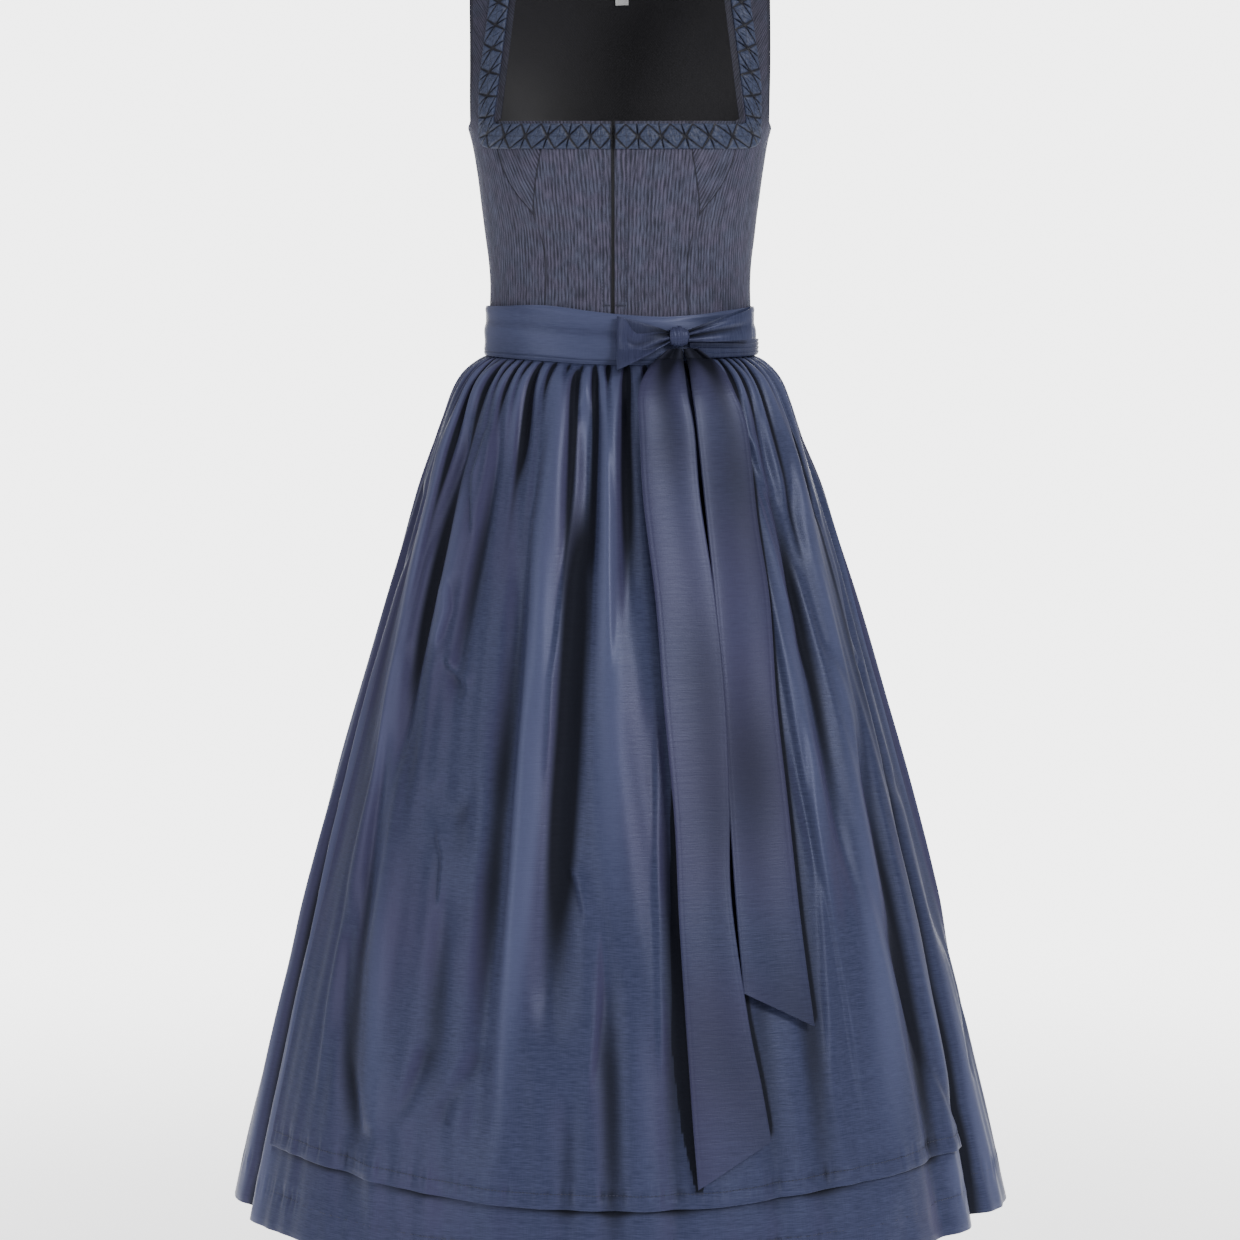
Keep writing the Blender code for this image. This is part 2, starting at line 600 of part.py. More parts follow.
def neck_trim(side, word):
    """Box pleated ribbon: diamonds between pinched pleats, raised over a plain inside."""
    (inner_x, inner_z), (outer_x, outer_z) = trim_edges(side)
    share = np.linspace(0, 1, 5)
    x = inner_x[:, None] + (outer_x - inner_x)[:, None] * share
    z = inner_z[:, None] + (outer_z - inner_z)[:, None] * share
    z[0] = 0.0
    turns = turn_at(x, z)
    diamond = (np.arange(len(x)) % 2)[:, None]
    relief = TRIM_PINCH + (TRIM_DIAMOND - TRIM_PINCH) * diamond
    under = torso(turns, z, TRIM_GAP)
    over = torso(turns, z, TRIM_GAP + RIBBON_WALL + relief / 1000)
    closed_wall("neck_trim_" + word, over, under, TRIM_COLOUR, TAFFETA_ROUGHNESS)


def skirt_columns(first, last):
    return np.arange(first, last + 1) * math.pi / GATHERS


def skirt_pieces():
    """Gathered skirt in a front and a back, sewn at the sides, its top inside the band."""
    heights_in_band = np.array([WAIST_SEAM - SEAM_GAP, BAND_BOTTOM + SKIRT_IN_BAND])
    depths = np.concatenate([SKIRT_TOP - heights_in_band, SKIRT_DEPTHS])[:, None]
    quarter = GATHERS // 2
    for name, first, shift in (("skirt_front", -quarter, -SEAM_GAP / 2),
                               ("skirt_back", quarter, SEAM_GAP / 2)):
        turns = skirt_columns(first, first + GATHERS)[None, :]
        outer, inner = skirt(turns, depths), skirt(turns, depths, -SKIRT_WALL)
        for sheet in (outer, inner):
            sheet[:, (0, -1), 1] += shift
        closed_wall(name, outer, inner, TAFFETA_COLOUR, TAFFETA_ROUGHNESS, crease=GATHER_CREASE)


def apron():
    """Gathered apron, made from the skirt's points moved out. Its hem rises to the sides."""
    turns = skirt_columns(-APRON_COLUMNS, APRON_COLUMNS)[None, :]
    depths = np.repeat(SKIRT_DEPTHS[:-1, None], turns.shape[1], axis=1)
    depths[0] += APRON_TOP_GAP
    rise = APRON_SIDE_RISE * np.sin(turns[0] / turns[0, -1] * math.pi / 2) ** 2
    depths[-1] = APRON_LENGTH - rise
    depths[-2] -= rise * APRON_RISE_SHARE
    gap = APRON_GAP + APRON_HANG * (depths / APRON_LENGTH) ** 2
    near = skirt(turns, depths, gap)
    far = skirt(turns, depths, gap + APRON_WALL)
    closed_wall("apron", far, near, TAFFETA_COLOUR, TAFFETA_ROUGHNESS, crease=GATHER_CREASE)


def apron_band():
    """Waistband of the apron, a soft flat band that goes all round."""
    turns = np.linspace(-math.pi, math.pi, BAND_COLUMNS, endpoint=False)[None, :]
    heights = BAND_PROFILE[:, :1]
    outer = band_point(turns, heights, BAND_PROFILE[:, 1:])
    inner = band_point(turns, heights, BAND_INNER)
    closed_wall("apron_band", outer, inner, TAFFETA_COLOUR, TAFFETA_ROUGHNESS, ring=True)


def tie_wrap():
    """End of the tie, folded into lengthwise layers on the lower half of the band."""
    turns = np.linspace(band_turn(WRAP_START), math.radians(WRAP_END), WRAP_COLUMNS)[None, :]
    share = np.linspace(0, 1, 7)[:, None]
    top = np.linspace(WRAP_TOP_FIRST, WRAP_TOP_LAST, WRAP_COLUMNS)
    heights = top + (WRAP_FOOT - top) * share
    layers = WRAP_LAYER * np.abs(np.sin(share * WRAP_LAYERS * math.pi + WRAP_FIRST_LAYER))
    under = band_point(turns, heights, WRAP_OUT)
    over = band_point(turns, heights, WRAP_OUT + WRAP_WALL + layers)
    closed_wall("apron_tie_wrap", over, under, TAFFETA_COLOUR, TAFFETA_ROUGHNESS)


def bow_knot():
    """Rounded knot on the band, closed by a pole at its top and at its foot."""
    lift = np.linspace(-math.pi / 2, math.pi / 2, KNOT_RINGS)[:, None]
    round_ = np.linspace(0, 2 * math.pi, KNOT_SIDES, endpoint=False)[None, :]
    wide = np.maximum(np.cos(lift), 0.0) ** KNOT_ROUNDING
    x = KNOT_X + KNOT_HALF_WIDTH * wide * np.cos(round_)
    out = (KNOT_NEAR + KNOT_FAR) / 2 + (KNOT_FAR - KNOT_NEAR) / 2 * wide * np.sin(round_)
    height = KNOT_Z + KNOT_HALF_HEIGHT * np.sin(lift) + 0 * round_
    points = band_point(band_turn(x), height, out)
    body = points[1:-1].reshape(-1, 3)
    corners = np.concatenate([body, [points[0].mean(axis=0)], [points[-1].mean(axis=0)]])
    index = np.arange(len(body)).reshape(KNOT_RINGS - 2, KNOT_SIDES)
    index = np.concatenate([index, index[:, :1]], axis=1)
    faces = []
    for k in range(KNOT_RINGS - 3):
        faces += between(index[k], index[k + 1])
    foot, top = len(body), len(body) + 1
    for k in range(KNOT_SIDES):
        faces.append((index[0, k + 1], index[0, k], foot))
        faces.append((index[-1, k], index[-1, k + 1], top))
    spots = corners[np.array(faces)] - corners.mean(axis=0)
    volume = np.einsum("ij,ij->i", spots[:, 0], np.cross(spots[:, 1], spots[:, 2])).sum()
    if volume < 0:
        faces = [(a, c, b) for a, b, c in faces]
    mesh = bpy.data.meshes.new("bow_knot")
    mesh.from_pydata(corners.tolist(), [], [tuple(int(i) for i in face) for face in faces])
    mesh.shade_smooth()
    mesh.materials.append(finish("bow_knot", TAFFETA_COLOUR, TAFFETA_ROUGHNESS))
    bpy.context.collection.objects.link(bpy.data.objects.new("bow_knot", mesh))


def bow_loop(name, side, root, reach, end_half, rise, stand):
    """Flat loop of ribbon: out beside the band, round at its end and back in front. It is
    narrow at the knot and widens to its end."""
    t = np.linspace(0.0, 1.0, LOOP_STEPS)[:, None]
    share = np.linspace(-1, 1, 4)[None, :]
    far = np.sin(math.pi * t) ** LOOP_ROUNDING
    x = KNOT_X + side * (root + (reach - root) * far) + 0 * share
    puff = np.maximum(0, -np.sin(2 * math.pi * t)) ** LOOP_ROUNDING
    out = stand + LOOP_THICK * t + LOOP_PUFF * puff
    half = LOOP_ROOT_HALF + (end_half - LOOP_ROOT_HALF) * far ** LOOP_WIDENING
    height = KNOT_Z + rise * far + half * share
    flare = LOOP_FLARE * far * share ** 2 * (t - 0.5)
    over_puff = LOOP_LEAN * np.maximum(0, BAND_BOTTOM + LOOP_LEAN_START - height)
    face = band_point(band_turn(x), height, out + flare + over_puff)
    across = np.gradient(face, axis=0)
    along = np.gradient(face, axis=1)
    normal = np.cross(across, along)
    normal /= np.linalg.norm(normal, axis=-1, keepdims=True)
    closed_wall(name, face + normal * RIBBON_WALL / 2, face - normal * RIBBON_WALL / 2,
                TAFFETA_COLOUR, TAFFETA_ROUGHNESS)


def bow_tail(name, table):
    """Free end of the tie, hanging clear of the apron's folds to a slanted end."""
    share = np.linspace(0, 1, 5)
    left_z, left_x, right_z, right_x, out = (table[:, k:k + 1] for k in range(5))
    x = left_x + (right_x - left_x) * share
    z = left_z + (right_z - left_z) * share
    half, deep, square = skirt_ring(SKIRT_TOP - z)
    lift = out + TAIL_WAVE * np.cos(share * 2 * math.pi)
    half, deep = half + lift, deep + lift
    y = -deep * (1 - (np.abs(x) / half) ** square) ** (1 / square)
    sheet = np.stack([x, y, z], axis=-1)
    normal = np.cross(np.gradient(sheet, axis=0), np.gradient(sheet, axis=1))
    normal /= np.linalg.norm(normal, axis=-1, keepdims=True)
    normal *= -np.sign(normal[..., 1:2])
    closed_wall(name, sheet + normal * RIBBON_WALL, sheet, TAFFETA_COLOUR, TAFFETA_ROUGHNESS)


def bow():
    bow_knot()
    bow_loop("bow_loop_left", *LEFT_LOOP)
    bow_loop("bow_loop_right", *RIGHT_LOOP)
    bow_tail("bow_tail_back", BACK_TAIL)
    bow_tail("bow_tail_front", FRONT_TAIL)


def build_dress():
    clear_scene()
    front_pieces()
    back_pieces()
    zip_tape()
    neck_trim(-1, "left")
    neck_trim(1, "right")
    skirt_pieces()
    apron()
    apron_band()
    tie_wrap()
    bow()


build_dress()
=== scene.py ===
"""Looks of the dirndl: thin shells of cloth on the form of the solid, in metres with +Z up.

A turn is an angle round the body, 0 at the middle of the front and growing towards +X.
A depth is a distance below the lower edge of the waistband.
"""

import math

import bpy
import numpy as np
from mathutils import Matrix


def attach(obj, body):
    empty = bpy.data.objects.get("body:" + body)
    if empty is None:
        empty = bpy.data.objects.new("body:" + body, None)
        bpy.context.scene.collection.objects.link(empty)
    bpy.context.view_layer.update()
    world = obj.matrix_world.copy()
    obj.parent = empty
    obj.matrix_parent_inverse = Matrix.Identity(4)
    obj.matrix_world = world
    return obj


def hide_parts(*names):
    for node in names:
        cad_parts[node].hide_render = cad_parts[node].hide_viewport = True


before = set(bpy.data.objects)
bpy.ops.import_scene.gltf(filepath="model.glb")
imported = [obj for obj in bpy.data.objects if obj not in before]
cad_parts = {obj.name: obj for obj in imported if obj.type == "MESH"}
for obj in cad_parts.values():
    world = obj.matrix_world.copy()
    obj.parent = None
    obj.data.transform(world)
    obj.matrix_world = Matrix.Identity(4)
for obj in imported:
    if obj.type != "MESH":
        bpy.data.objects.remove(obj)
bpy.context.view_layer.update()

SEAM_GAP = 0.0003
BODICE_WALL = 0.0013
LINING_WALL = 0.0010
LABEL_GAP = 0.0014
APRON_WALL = 0.0012
APRON_GAP = 0.0005
APRON_HANG = 0.0025
RIBBON_WALL = 0.0012
WAIST_SEAM = -0.3925
UNDERARM = -0.1986
NECKLINE = -0.1864
BUST_LEVEL = -0.2350
BLADE_LEVEL = -0.1700
BUST_DEPTH = 0.1250
BLADE_DEPTH = 0.1080
STRAP_OUTER = 0.1466
STRAP_MIDDLE = 0.1200
SHOULDER_SLOPE = 0.35
NECK_HALF = 0.0923
NECK_SPREAD = 0.1244
BACK_NECK_DROP = 0.034
FRONT_MIDDLE = -0.0035
SLIT_CENTRE = -0.0070
SLIT_HALF = 0.0013
CUP_CENTRE = 0.078
CUP_FULLNESS = 0.006
BAND_TOP = -0.3695
BAND_BOTTOM = -0.4165
SKIRT_TOP = -0.4168
SKIRT_HALF_WIDTH = 0.1313
SKIRT_HALF_DEPTH = 0.0995
SKIRT_LENGTH = 0.845
PUFF = 0.0255
PUFF_FADE = 0.016
FLARE = 0.3225
FLARE_BEND = 0.0565
GATHERS = 68
GATHER_HEIGHT = 0.0036
GATHER_FADE = 0.026
PLEAT_HEIGHT = 0.0050
PLEAT_FADE = 0.085
APRON_LENGTH = 0.786
APRON_SIDE_RISE = 0.019
APRON_EDGE = 26 * math.pi / GATHERS
FOLD_STRENGTH = 1.25
CLOTH_FOLD = 0.0011

# height, half width, front depth, back depth, squareness of the ring
TORSO = np.array([
    (-0.3925, 0.1300, 0.0985, 0.0985, 2.30),
    (-0.3700, 0.1296, 0.0985, 0.0980, 2.30),
    (-0.3476, 0.1291, 0.0992, 0.0980, 2.30),
    (-0.3200, 0.1308, 0.1040, 0.0985, 2.32),
    (-0.3020, 0.1329, 0.1090, 0.0995, 2.35),
    (-0.2720, 0.1362, 0.1190, 0.1022, 2.42),
    (-0.2350, 0.1408, 0.1250, 0.1052, 2.55),
    (-0.1986, 0.1480, 0.1250, 0.1074, 2.75),
    (-0.1864, 0.1520, 0.1250, 0.1079, 2.82),
    (-0.1650, 0.1570, 0.1250, 0.1080, 2.88),
    (-0.1400, 0.1630, 0.1250, 0.1080, 2.90),
    (-0.1100, 0.1670, 0.1250, 0.1080, 2.90),
    (-0.0800, 0.1690, 0.1250, 0.1080, 2.90),
    (0.0000, 0.1700, 0.1250, 0.1080, 2.90),
])

# height, seam between centre front and side front, neckline edge of the bust insert
BUST_SEAM = np.array([
    (-0.3925, 0.0713, 0.0713),
    (-0.3052, 0.0713, 0.0713),
    (-0.2755, 0.0795, 0.0800),
    (-0.2550, 0.0775, 0.0950),
    (-0.2350, 0.0745, 0.1065),
    (-0.2131, 0.0715, 0.1140),
    (-0.1864, 0.0706, 0.1149),
])

# height, inner edge of the back strap carried down the back
BACK_STRAP = np.array([(-0.3925, 0.085), (-0.1986, 0.100), (-0.1000, 0.099), (0.0000, 0.0923)])

# turn at the top and at the hem in degrees, depth where it starts and ends, half width in
# degrees, height in millimetres (a valley is negative)
FRONT_FOLDS = np.array([
    (-10.0, -12.5, 0.00, 0.66, 3.4, -9.0),
    (-2.5, 1.5, 0.02, 0.60, 4.2, 4.0),
    (-17.0, -20.5, 0.02, 0.84, 4.2, 4.0),
    (-25.5, -22.5, 0.18, 0.76, 3.0, -4.8),
    (-29.0, -29.0, 0.00, 0.13, 2.4, -5.0),
    (-67.0, -40.5, 0.02, 0.84, 5.0, 6.0),
    (-55.5, -49.0, 0.02, 0.42, 3.6, -8.0),
    (-66.0, -44.0, 0.34, 0.84, 3.6, -7.0),
    (-49.0, -46.0, 0.04, 0.38, 3.4, 3.0),
    (-37.0, -43.0, 0.04, 0.36, 2.6, -4.0),
    (-31.6, -31.6, 0.38, 0.50, 3.0, -2.6),
    (-38.5, -29.0, 0.46, 0.80, 3.2, -4.5),
    (-31.0, -30.0, 0.50, 0.82, 3.4, 2.5),
    (-4.0, -0.8, 0.52, 0.90, 2.6, -5.0),
    (-8.5, -8.0, 0.64, 0.86, 2.2, -3.0),
    (2.0, 3.5, 0.00, 0.26, 2.4, -5.0),
    (9.8, 8.6, 0.30, 0.90, 2.4, -4.5),
    (24.0, 25.0, 0.08, 0.90, 3.6, -4.0),
    (34.0, 33.0, 0.04, 0.90, 3.4, -4.5),
    (48.0, 46.0, 0.03, 0.52, 2.8, -4.5),
    (45.0, 40.0, 0.10, 0.56, 3.2, 2.5),
    (62.0, 45.0, 0.03, 0.86, 5.4, 5.0),
    (60.0, 58.0, 0.34, 0.90, 3.4, -6.5),
    (-76.0, -77.5, 0.20, 0.95, 3.4, -5.0),
    (-76.0, -77.5, 0.48, 0.95, 3.4, -4.0),
    (-76.0, -77.5, 0.62, 0.95, 3.4, -5.0),
    (-76.0, -77.5, 0.72, 0.95, 3.6, -5.0),
    (73.5, 72.5, 0.20, 0.95, 3.6, -5.0),
    (73.5, 72.5, 0.42, 0.95, 3.8, -5.0),
    (73.5, 72.5, 0.55, 0.95, 4.2, -6.0),
    (73.5, 72.5, 0.67, 0.95, 4.6, -7.0),
])

# profile, half width in metres, height in millimetres, line of turns in degrees and depths
CREASES = (
    ("bell", 0.0085, -5.0, ((-8.3, 0.020), (-7.5, 0.085), (-7.8, 0.151), (-8.8, 0.215))),
    ("edge", 0.0150, 2.6, ((-22.0, 0.036), (-21.1, 0.066), (-23.1, 0.152), (-21.3, 0.320),
                           (-20.4, 0.487), (-20.5, 0.600))),
    ("edge", 0.0160, -2.2, ((-61.0, 0.120), (-58.7, 0.305), (-55.3, 0.496), (-51.8, 0.600))),
    ("bell", 0.0060, -3.4, ((-55.9, 0.041), (-53.9, 0.089), (-59.5, 0.197), (-58.0, 0.274),
                            (-52.0, 0.330))),
    ("edge", 0.0100, 2.4, ((-44.3, 0.060), (-46.0, 0.110), (-42.0, 0.170))),
    ("edge", 0.0110, -2.2, ((-47.5, 0.205), (-44.5, 0.240), (-46.0, 0.280))),
    ("edge", 0.0100, 2.4, ((-43.7, 0.285), (-39.5, 0.300), (-34.4, 0.315))),
    ("bell", 0.0110, -2.4, ((-39.0, 0.395), (-35.0, 0.424), (-30.5, 0.436))),
    ("edge", 0.0090, 2.2, ((-38.5, 0.440), (-35.5, 0.470), (-35.0, 0.520))),
    ("edge", 0.0080, 2.0, ((-10.5, 0.470), (-8.1, 0.489), (-6.2, 0.525))),
    ("edge", 0.0130, 2.4, ((40.7, 0.070), (42.9, 0.107), (45.8, 0.140))),
    ("edge", 0.0120, -2.0, ((40.5, 0.113), (42.8, 0.183), (44.4, 0.254))),
    ("bell", 0.0075, -3.6, ((55.0, 0.110), (48.0, 0.216), (46.4, 0.273), (47.1, 0.320))),
    ("bell", 0.0090, -4.0, ((-59.6, 0.500), (-55.0, 0.600), (-51.5, 0.670), (-45.1, 0.734),
                            (-39.1, 0.743), (-32.4, 0.756))),
    ("bell", 0.0080, -3.4, ((-32.8, 0.640), (-36.4, 0.701), (-38.5, 0.718))),
    ("bell", 0.0080, -3.0, ((-21.8, 0.640), (-27.2, 0.682), (-30.0, 0.724))),
    ("edge", 0.0180, 2.0, ((64.0, 0.300), (61.9, 0.478), (63.2, 0.623), (65.3, 0.740))),
    ("edge", 0.0150, 1.8, ((41.9, 0.325), (39.4, 0.466), (36.9, 0.604), (35.0, 0.715))),
    ("edge", 0.0140, -1.8, ((-3.5, 0.503), (-3.3, 0.594), (-4.7, 0.690))),
    ("edge", 0.0140, 1.8, ((7.4, 0.319), (6.3, 0.503), (6.4, 0.685))),
    ("edge", 0.0120, 2.0, ((-12.5, 0.060), (-13.5, 0.160), (-15.5, 0.300), (-15.0, 0.420))),
    ("edge", 0.0120, -2.0, ((-3.5, 0.050), (-2.0, 0.140), (-1.5, 0.300))),
    ("edge", 0.0120, 2.2, ((-74.0, 0.180), (-73.0, 0.400), (-71.0, 0.600), (-70.5, 0.740))),
    ("edge", 0.0120, -2.2, ((74.0, 0.180), (73.0, 0.400), (71.0, 0.600), (70.5, 0.740))),
)
BACK_SHIFTS = (112.0, 176.0, 238.0)

# height and place across of a tail's left edge, the same of its right edge, distance out from
# the skirt's plain ring
FRONT_TAIL = np.array([
    (-0.4062, 0.0470, -0.4062, 0.0600, 0.0140),
    (-0.4250, 0.0270, -0.4250, 0.0620, 0.0168),
    (-0.4480, 0.0175, -0.4480, 0.0650, 0.0172),
    (-0.4820, 0.0185, -0.4830, 0.0715, 0.0160),
    (-0.5480, 0.0223, -0.5490, 0.0771, 0.0140),
    (-0.6410, 0.0337, -0.6430, 0.0912, 0.0135),
    (-0.7340, 0.0411, -0.7360, 0.1004, 0.0135),
    (-0.8450, 0.0514, -0.8290, 0.1039, 0.0135),
    (-0.9410, 0.0559, -0.9200, 0.1054, 0.0135),
    (-1.0650, 0.0642, -1.0310, 0.1211, 0.0135),
    (-1.1280, 0.0687, -1.0910, 0.1332, 0.0130),
    (-1.1830, 0.0733, -1.1430, 0.1425, 0.0125),
])
BACK_TAIL = np.array([
    (-0.4062, 0.0615, -0.4062, 0.0760, 0.0088),
    (-0.4250, 0.0665, -0.4250, 0.0980, 0.0104),
    (-0.4480, 0.0695, -0.4480, 0.1110, 0.0106),
    (-0.4830, 0.0740, -0.4850, 0.1235, 0.0098),
    (-0.5680, 0.0829, -0.5700, 0.1327, 0.0085),
    (-0.6430, 0.0904, -0.6460, 0.1440, 0.0085),
    (-0.7370, 0.0977, -0.7400, 0.1501, 0.0085),
    (-0.8290, 0.1030, -0.8330, 0.1601, 0.0085),
    (-0.9220, 0.1093, -0.9450, 0.1719, 0.0085),
    (-1.0070, 0.1166, -1.0430, 0.1848, 0.0085),
])

# distance down, left edge of the painted shadow in the opening between the apron's fold
# and the front tail
TAIL_OPENING = np.array([(0.800, 0.0490), (0.845, 0.0492), (0.941, 0.0495), (1.055, 0.0506),
                         (1.128, 0.0592), (1.183, 0.0716)])

TRIM_GAP = 0.0010
TRIM_OFFSET = 0.0063
TRIM_WIDTH = 0.0186
TRIM_TOP = -0.1892
TRIM_LOWER = -0.2131
TRIM_CORNER = 0.1360
STRAP_UNITS = 11
FRONT_UNITS = 6
TRIM_PITCH = 0.0218

KNOT_X = 0.0548
KNOT_Z = -0.3945
KNOT_HALF_WIDTH = 0.0088
KNOT_HALF_HEIGHT = 0.0108
KNOT_NEAR = 0.0042
KNOT_FAR = 0.0185
LOOP_LEAN = 1.15

# turn in degrees, shift of the waistband's upper edge and of its lower edge
BAND_WAVE = np.array([
    (-180, 0.0, 0.0),
    (-95, 0.0010, 0.0),
    (-60, 0.0030, 0.0),
    (-28, 0.0045, -0.0025),
    (-8, -0.0010, -0.0050),
    (2, -0.0040, -0.0055),
    (14, -0.0058, -0.0050),
    (30, -0.0045, -0.0010),
    (50, -0.0010, 0.0010),
    (75, 0.0010, 0.0008),
    (100, 0.0, 0.0),
    (180, 0.0, 0.0),
])


def read_table(at, places, values):
    """Read a table smoothly, by cubic pieces whose slopes come from the neighbouring rows."""
    slopes = np.gradient(values, places)
    at = np.clip(at, places[0], places[-1])
    row = np.clip(np.searchsorted(places, at, side="right") - 1, 0, len(places) - 2)
    step = places[row + 1] - places[row]
    t = (at - places[row]) / step
    start = (1 + 2 * t) * (1 - t) ** 2 * values[row] + t * (1 - t) ** 2 * step * slopes[row]
    end = t * t * (3 - 2 * t) * values[row + 1] + t * t * (t - 1) * step * slopes[row + 1]
    return start + end


def ease(t):
    t = np.clip(t, 0.0, 1.0)
    return t * t * (3 - 2 * t)


def ripple(a, b, seed, low=1.0, high=3.0, waves=8):
    """Smooth uneven value near -1 to 1: sine waves of several directions and sizes, added."""
    rng = np.random.default_rng(seed)
    total = 0.0
    for _ in range(waves):
        angle = rng.uniform(0, 2 * math.pi)
        size = rng.uniform(low, high)
        shift = rng.uniform(0, 2 * math.pi)
        total = total + np.sin(size * (a * math.cos(angle) + b * math.sin(angle)) + shift)
    return total / math.sqrt(waves)


def torso_ring(height):
    """Half width of the torso at a height, and the squareness of its ring."""
    half = read_table(height, TORSO[:, 0], TORSO[:, 1])
    square = read_table(height, TORSO[:, 0], TORSO[:, 4])
    return half, square


def torso_depth(height, back):
    """Depth from the side seam, and depth times its slope. Above the bust or the shoulder
    blades the profile is a quarter ellipse that closes over the shoulder."""
    level, full, column = (BLADE_LEVEL, BLADE_DEPTH, 3) if back else (BUST_LEVEL, BUST_DEPTH, 2)
    low = read_table(height, TORSO[:, 0], TORSO[:, column])
    low_slope = (read_table(height + 0.001, TORSO[:, 0], TORSO[:, column]) - low) / 0.001
    rise = np.clip((height - level) / -level, 0.0, 1.0)
    arch = full * np.sqrt(np.maximum(1 - rise ** 2, 0.0))
    above = height > level
    depth = np.where(above, arch, low)
    return depth, np.where(above, full ** 2 * rise / level, low * low_slope)


def turn_at(across, height):
    """Turn at which the torso's ring has a given half width."""
    half, square = torso_ring(height)
    return np.arcsin(np.clip(np.abs(across) / half, 0, 1) ** (square / 2)) * np.sign(across)


def torso(turn, height, out=0.0, back=False):
    """Point of the bodice's outer face, moved out along the normal of that face."""
    turn, height = np.broadcast_arrays(np.asarray(turn, float), np.asarray(height, float))
    half, square = torso_ring(height)
    depth, depth_slope = torso_depth(height, back)
    across = np.abs(np.sin(turn)) ** (2 / square)
    along = np.abs(np.cos(turn)) ** (2 / square)
    side = np.sign(np.sin(turn))
    facing = 1.0 if back else -1.0
    normal = np.stack([across ** (square - 1) * depth ** 2 / half * side,
                       along ** (square - 1) * depth * facing,
                       -along ** square * depth_slope], axis=-1)
    normal = normal / np.maximum(np.linalg.norm(normal, axis=-1, keepdims=True), 1e-9)
    x = half * across * side
    y = depth * along * facing
    rise = np.clip((height - BLADE_LEVEL) / -BLADE_LEVEL, 0, 1)
    spread = STRAP_MIDDLE - np.clip(np.abs(x), NECK_HALF, STRAP_OUTER)
    z = height + SHOULDER_SLOPE * spread * rise ** 2
    lift = np.broadcast_to(out, x.shape) + 0.0
    if not back:
        cup = np.exp(-((np.abs(x - FRONT_MIDDLE) - CUP_CENTRE) / 0.042) ** 2
                     - ((height - BUST_LEVEL) / 0.045) ** 2)
        lift = lift + CUP_FULLNESS * cup
    point = np.stack([x, y + facing * 0.00003, z], axis=-1)
    return point + normal * lift[..., None]


def skirt_ring(depth):
    """Half width, half depth and squareness of the skirt's ring below the band."""
    below = np.maximum(depth, 0)
    flare = (PUFF * (1 - np.exp(-below / PUFF_FADE)) + FLARE * below - FLARE_BEND * below ** 2)
    tuck = 0.03 * np.minimum(depth, 0)
    square = 2 + 0.3 * np.exp(-below / 0.05)
    return SKIRT_HALF_WIDTH + flare + tuck, SKIRT_HALF_DEPTH + flare + tuck, square


def hidden_folds():
    """Folds of the sides and the back, uneven like those of the front."""
    rows = []
    for k in range(14):
        centre = 84 + 15.0 * k + 3.0 * math.sin(2.1 * k + 0.4)
        width = 4.0 + 1.0 * math.cos(1.7 * k)
        start = 0.02 + 0.09 * (k % 3)
        end = 0.62 + 0.25 * ((k * 2) % 3)
        rows.append((centre, centre + 3 * math.sin(1.3 * k), start, end, width,
                     -6.5 + 2.0 * math.sin(1.9 * k)))
        rows.append((centre + 7.5, centre + 7.0, start + 0.04, end, width + 0.5,
                     3.0 + 1.2 * math.cos(2.3 * k)))
    return np.array(rows)


def fold_height(turn, depth, longest=0.08):
    """Sum of the folds: each is a bell across and rises and fades down its length, over the
    longest run given at most."""
    total = np.zeros(np.broadcast(turn, depth).shape)
    for top, low, start, end, width, height in np.concatenate([FRONT_FOLDS, hidden_folds()]):
        centre = top + (low - top) * depth / SKIRT_LENGTH
        apart = (np.degrees(turn) - centre + 180) % 360 - 180
        fade = min(longest, (end - start) / 2.1)
        along = ease((depth - start) / fade) * ease((end - depth) / fade)
        total = total + FOLD_STRENGTH * height / 1000 * along * np.exp(-(apart / width) ** 2)
    return total


def crease_height(turn, depth):
    """Sharper creases along drawn lines. A bell is a dent or a ridge along its line; an edge is
    a steep step there, which fades out slowly on both of its sides."""
    total = np.zeros(np.broadcast(turn, depth).shape)
    reach = skirt_ring(depth)[0]
    for shift in (0.0, *BACK_SHIFTS):
        for number, (profile, width, height, line) in enumerate(CREASES):
            if shift and (number + int(shift)) % 3 == 0:
                continue
            line = np.array(line)
            pieces = np.hypot(np.radians(np.diff(line[:, 0])) * 0.25, np.diff(line[:, 1]))
            marks = np.concatenate([[0], np.cumsum(pieces)]) / pieces.sum()
            nearest = np.full(total.shape, 1.0)
            across, share = np.zeros(total.shape), np.zeros(total.shape)
            for k in range(len(line) - 1):
                turned = (np.degrees(turn) - line[k, 0] - shift + 180) % 360 - 180
                x, y = np.radians(turned) * reach, depth - line[k, 1]
                step_x = math.radians(line[k + 1, 0] - line[k, 0]) * reach
                step_y = line[k + 1, 1] - line[k, 1]
                size = step_x ** 2 + step_y ** 2
                t = np.clip((x * step_x + y * step_y) / size, 0, 1)
                distance = np.hypot(x - t * step_x, y - t * step_y)
                closer = distance < nearest
                nearest = np.where(closer, distance, nearest)
                side = np.sign(x * step_y - y * step_x)
                across = np.where(closer, side * distance, across)
                share = np.where(closer, marks[k] + t * (marks[k + 1] - marks[k]), share)
            bell = np.exp(-(nearest / (1.25 * width)) ** 2)
            ends = ease(share / 0.22) * ease((1 - share) / 0.22)
            shape = bell if profile == "bell" else bell * np.tanh(across / (0.20 * width))
            total = total + height / 1000 * ends * shape
    return total


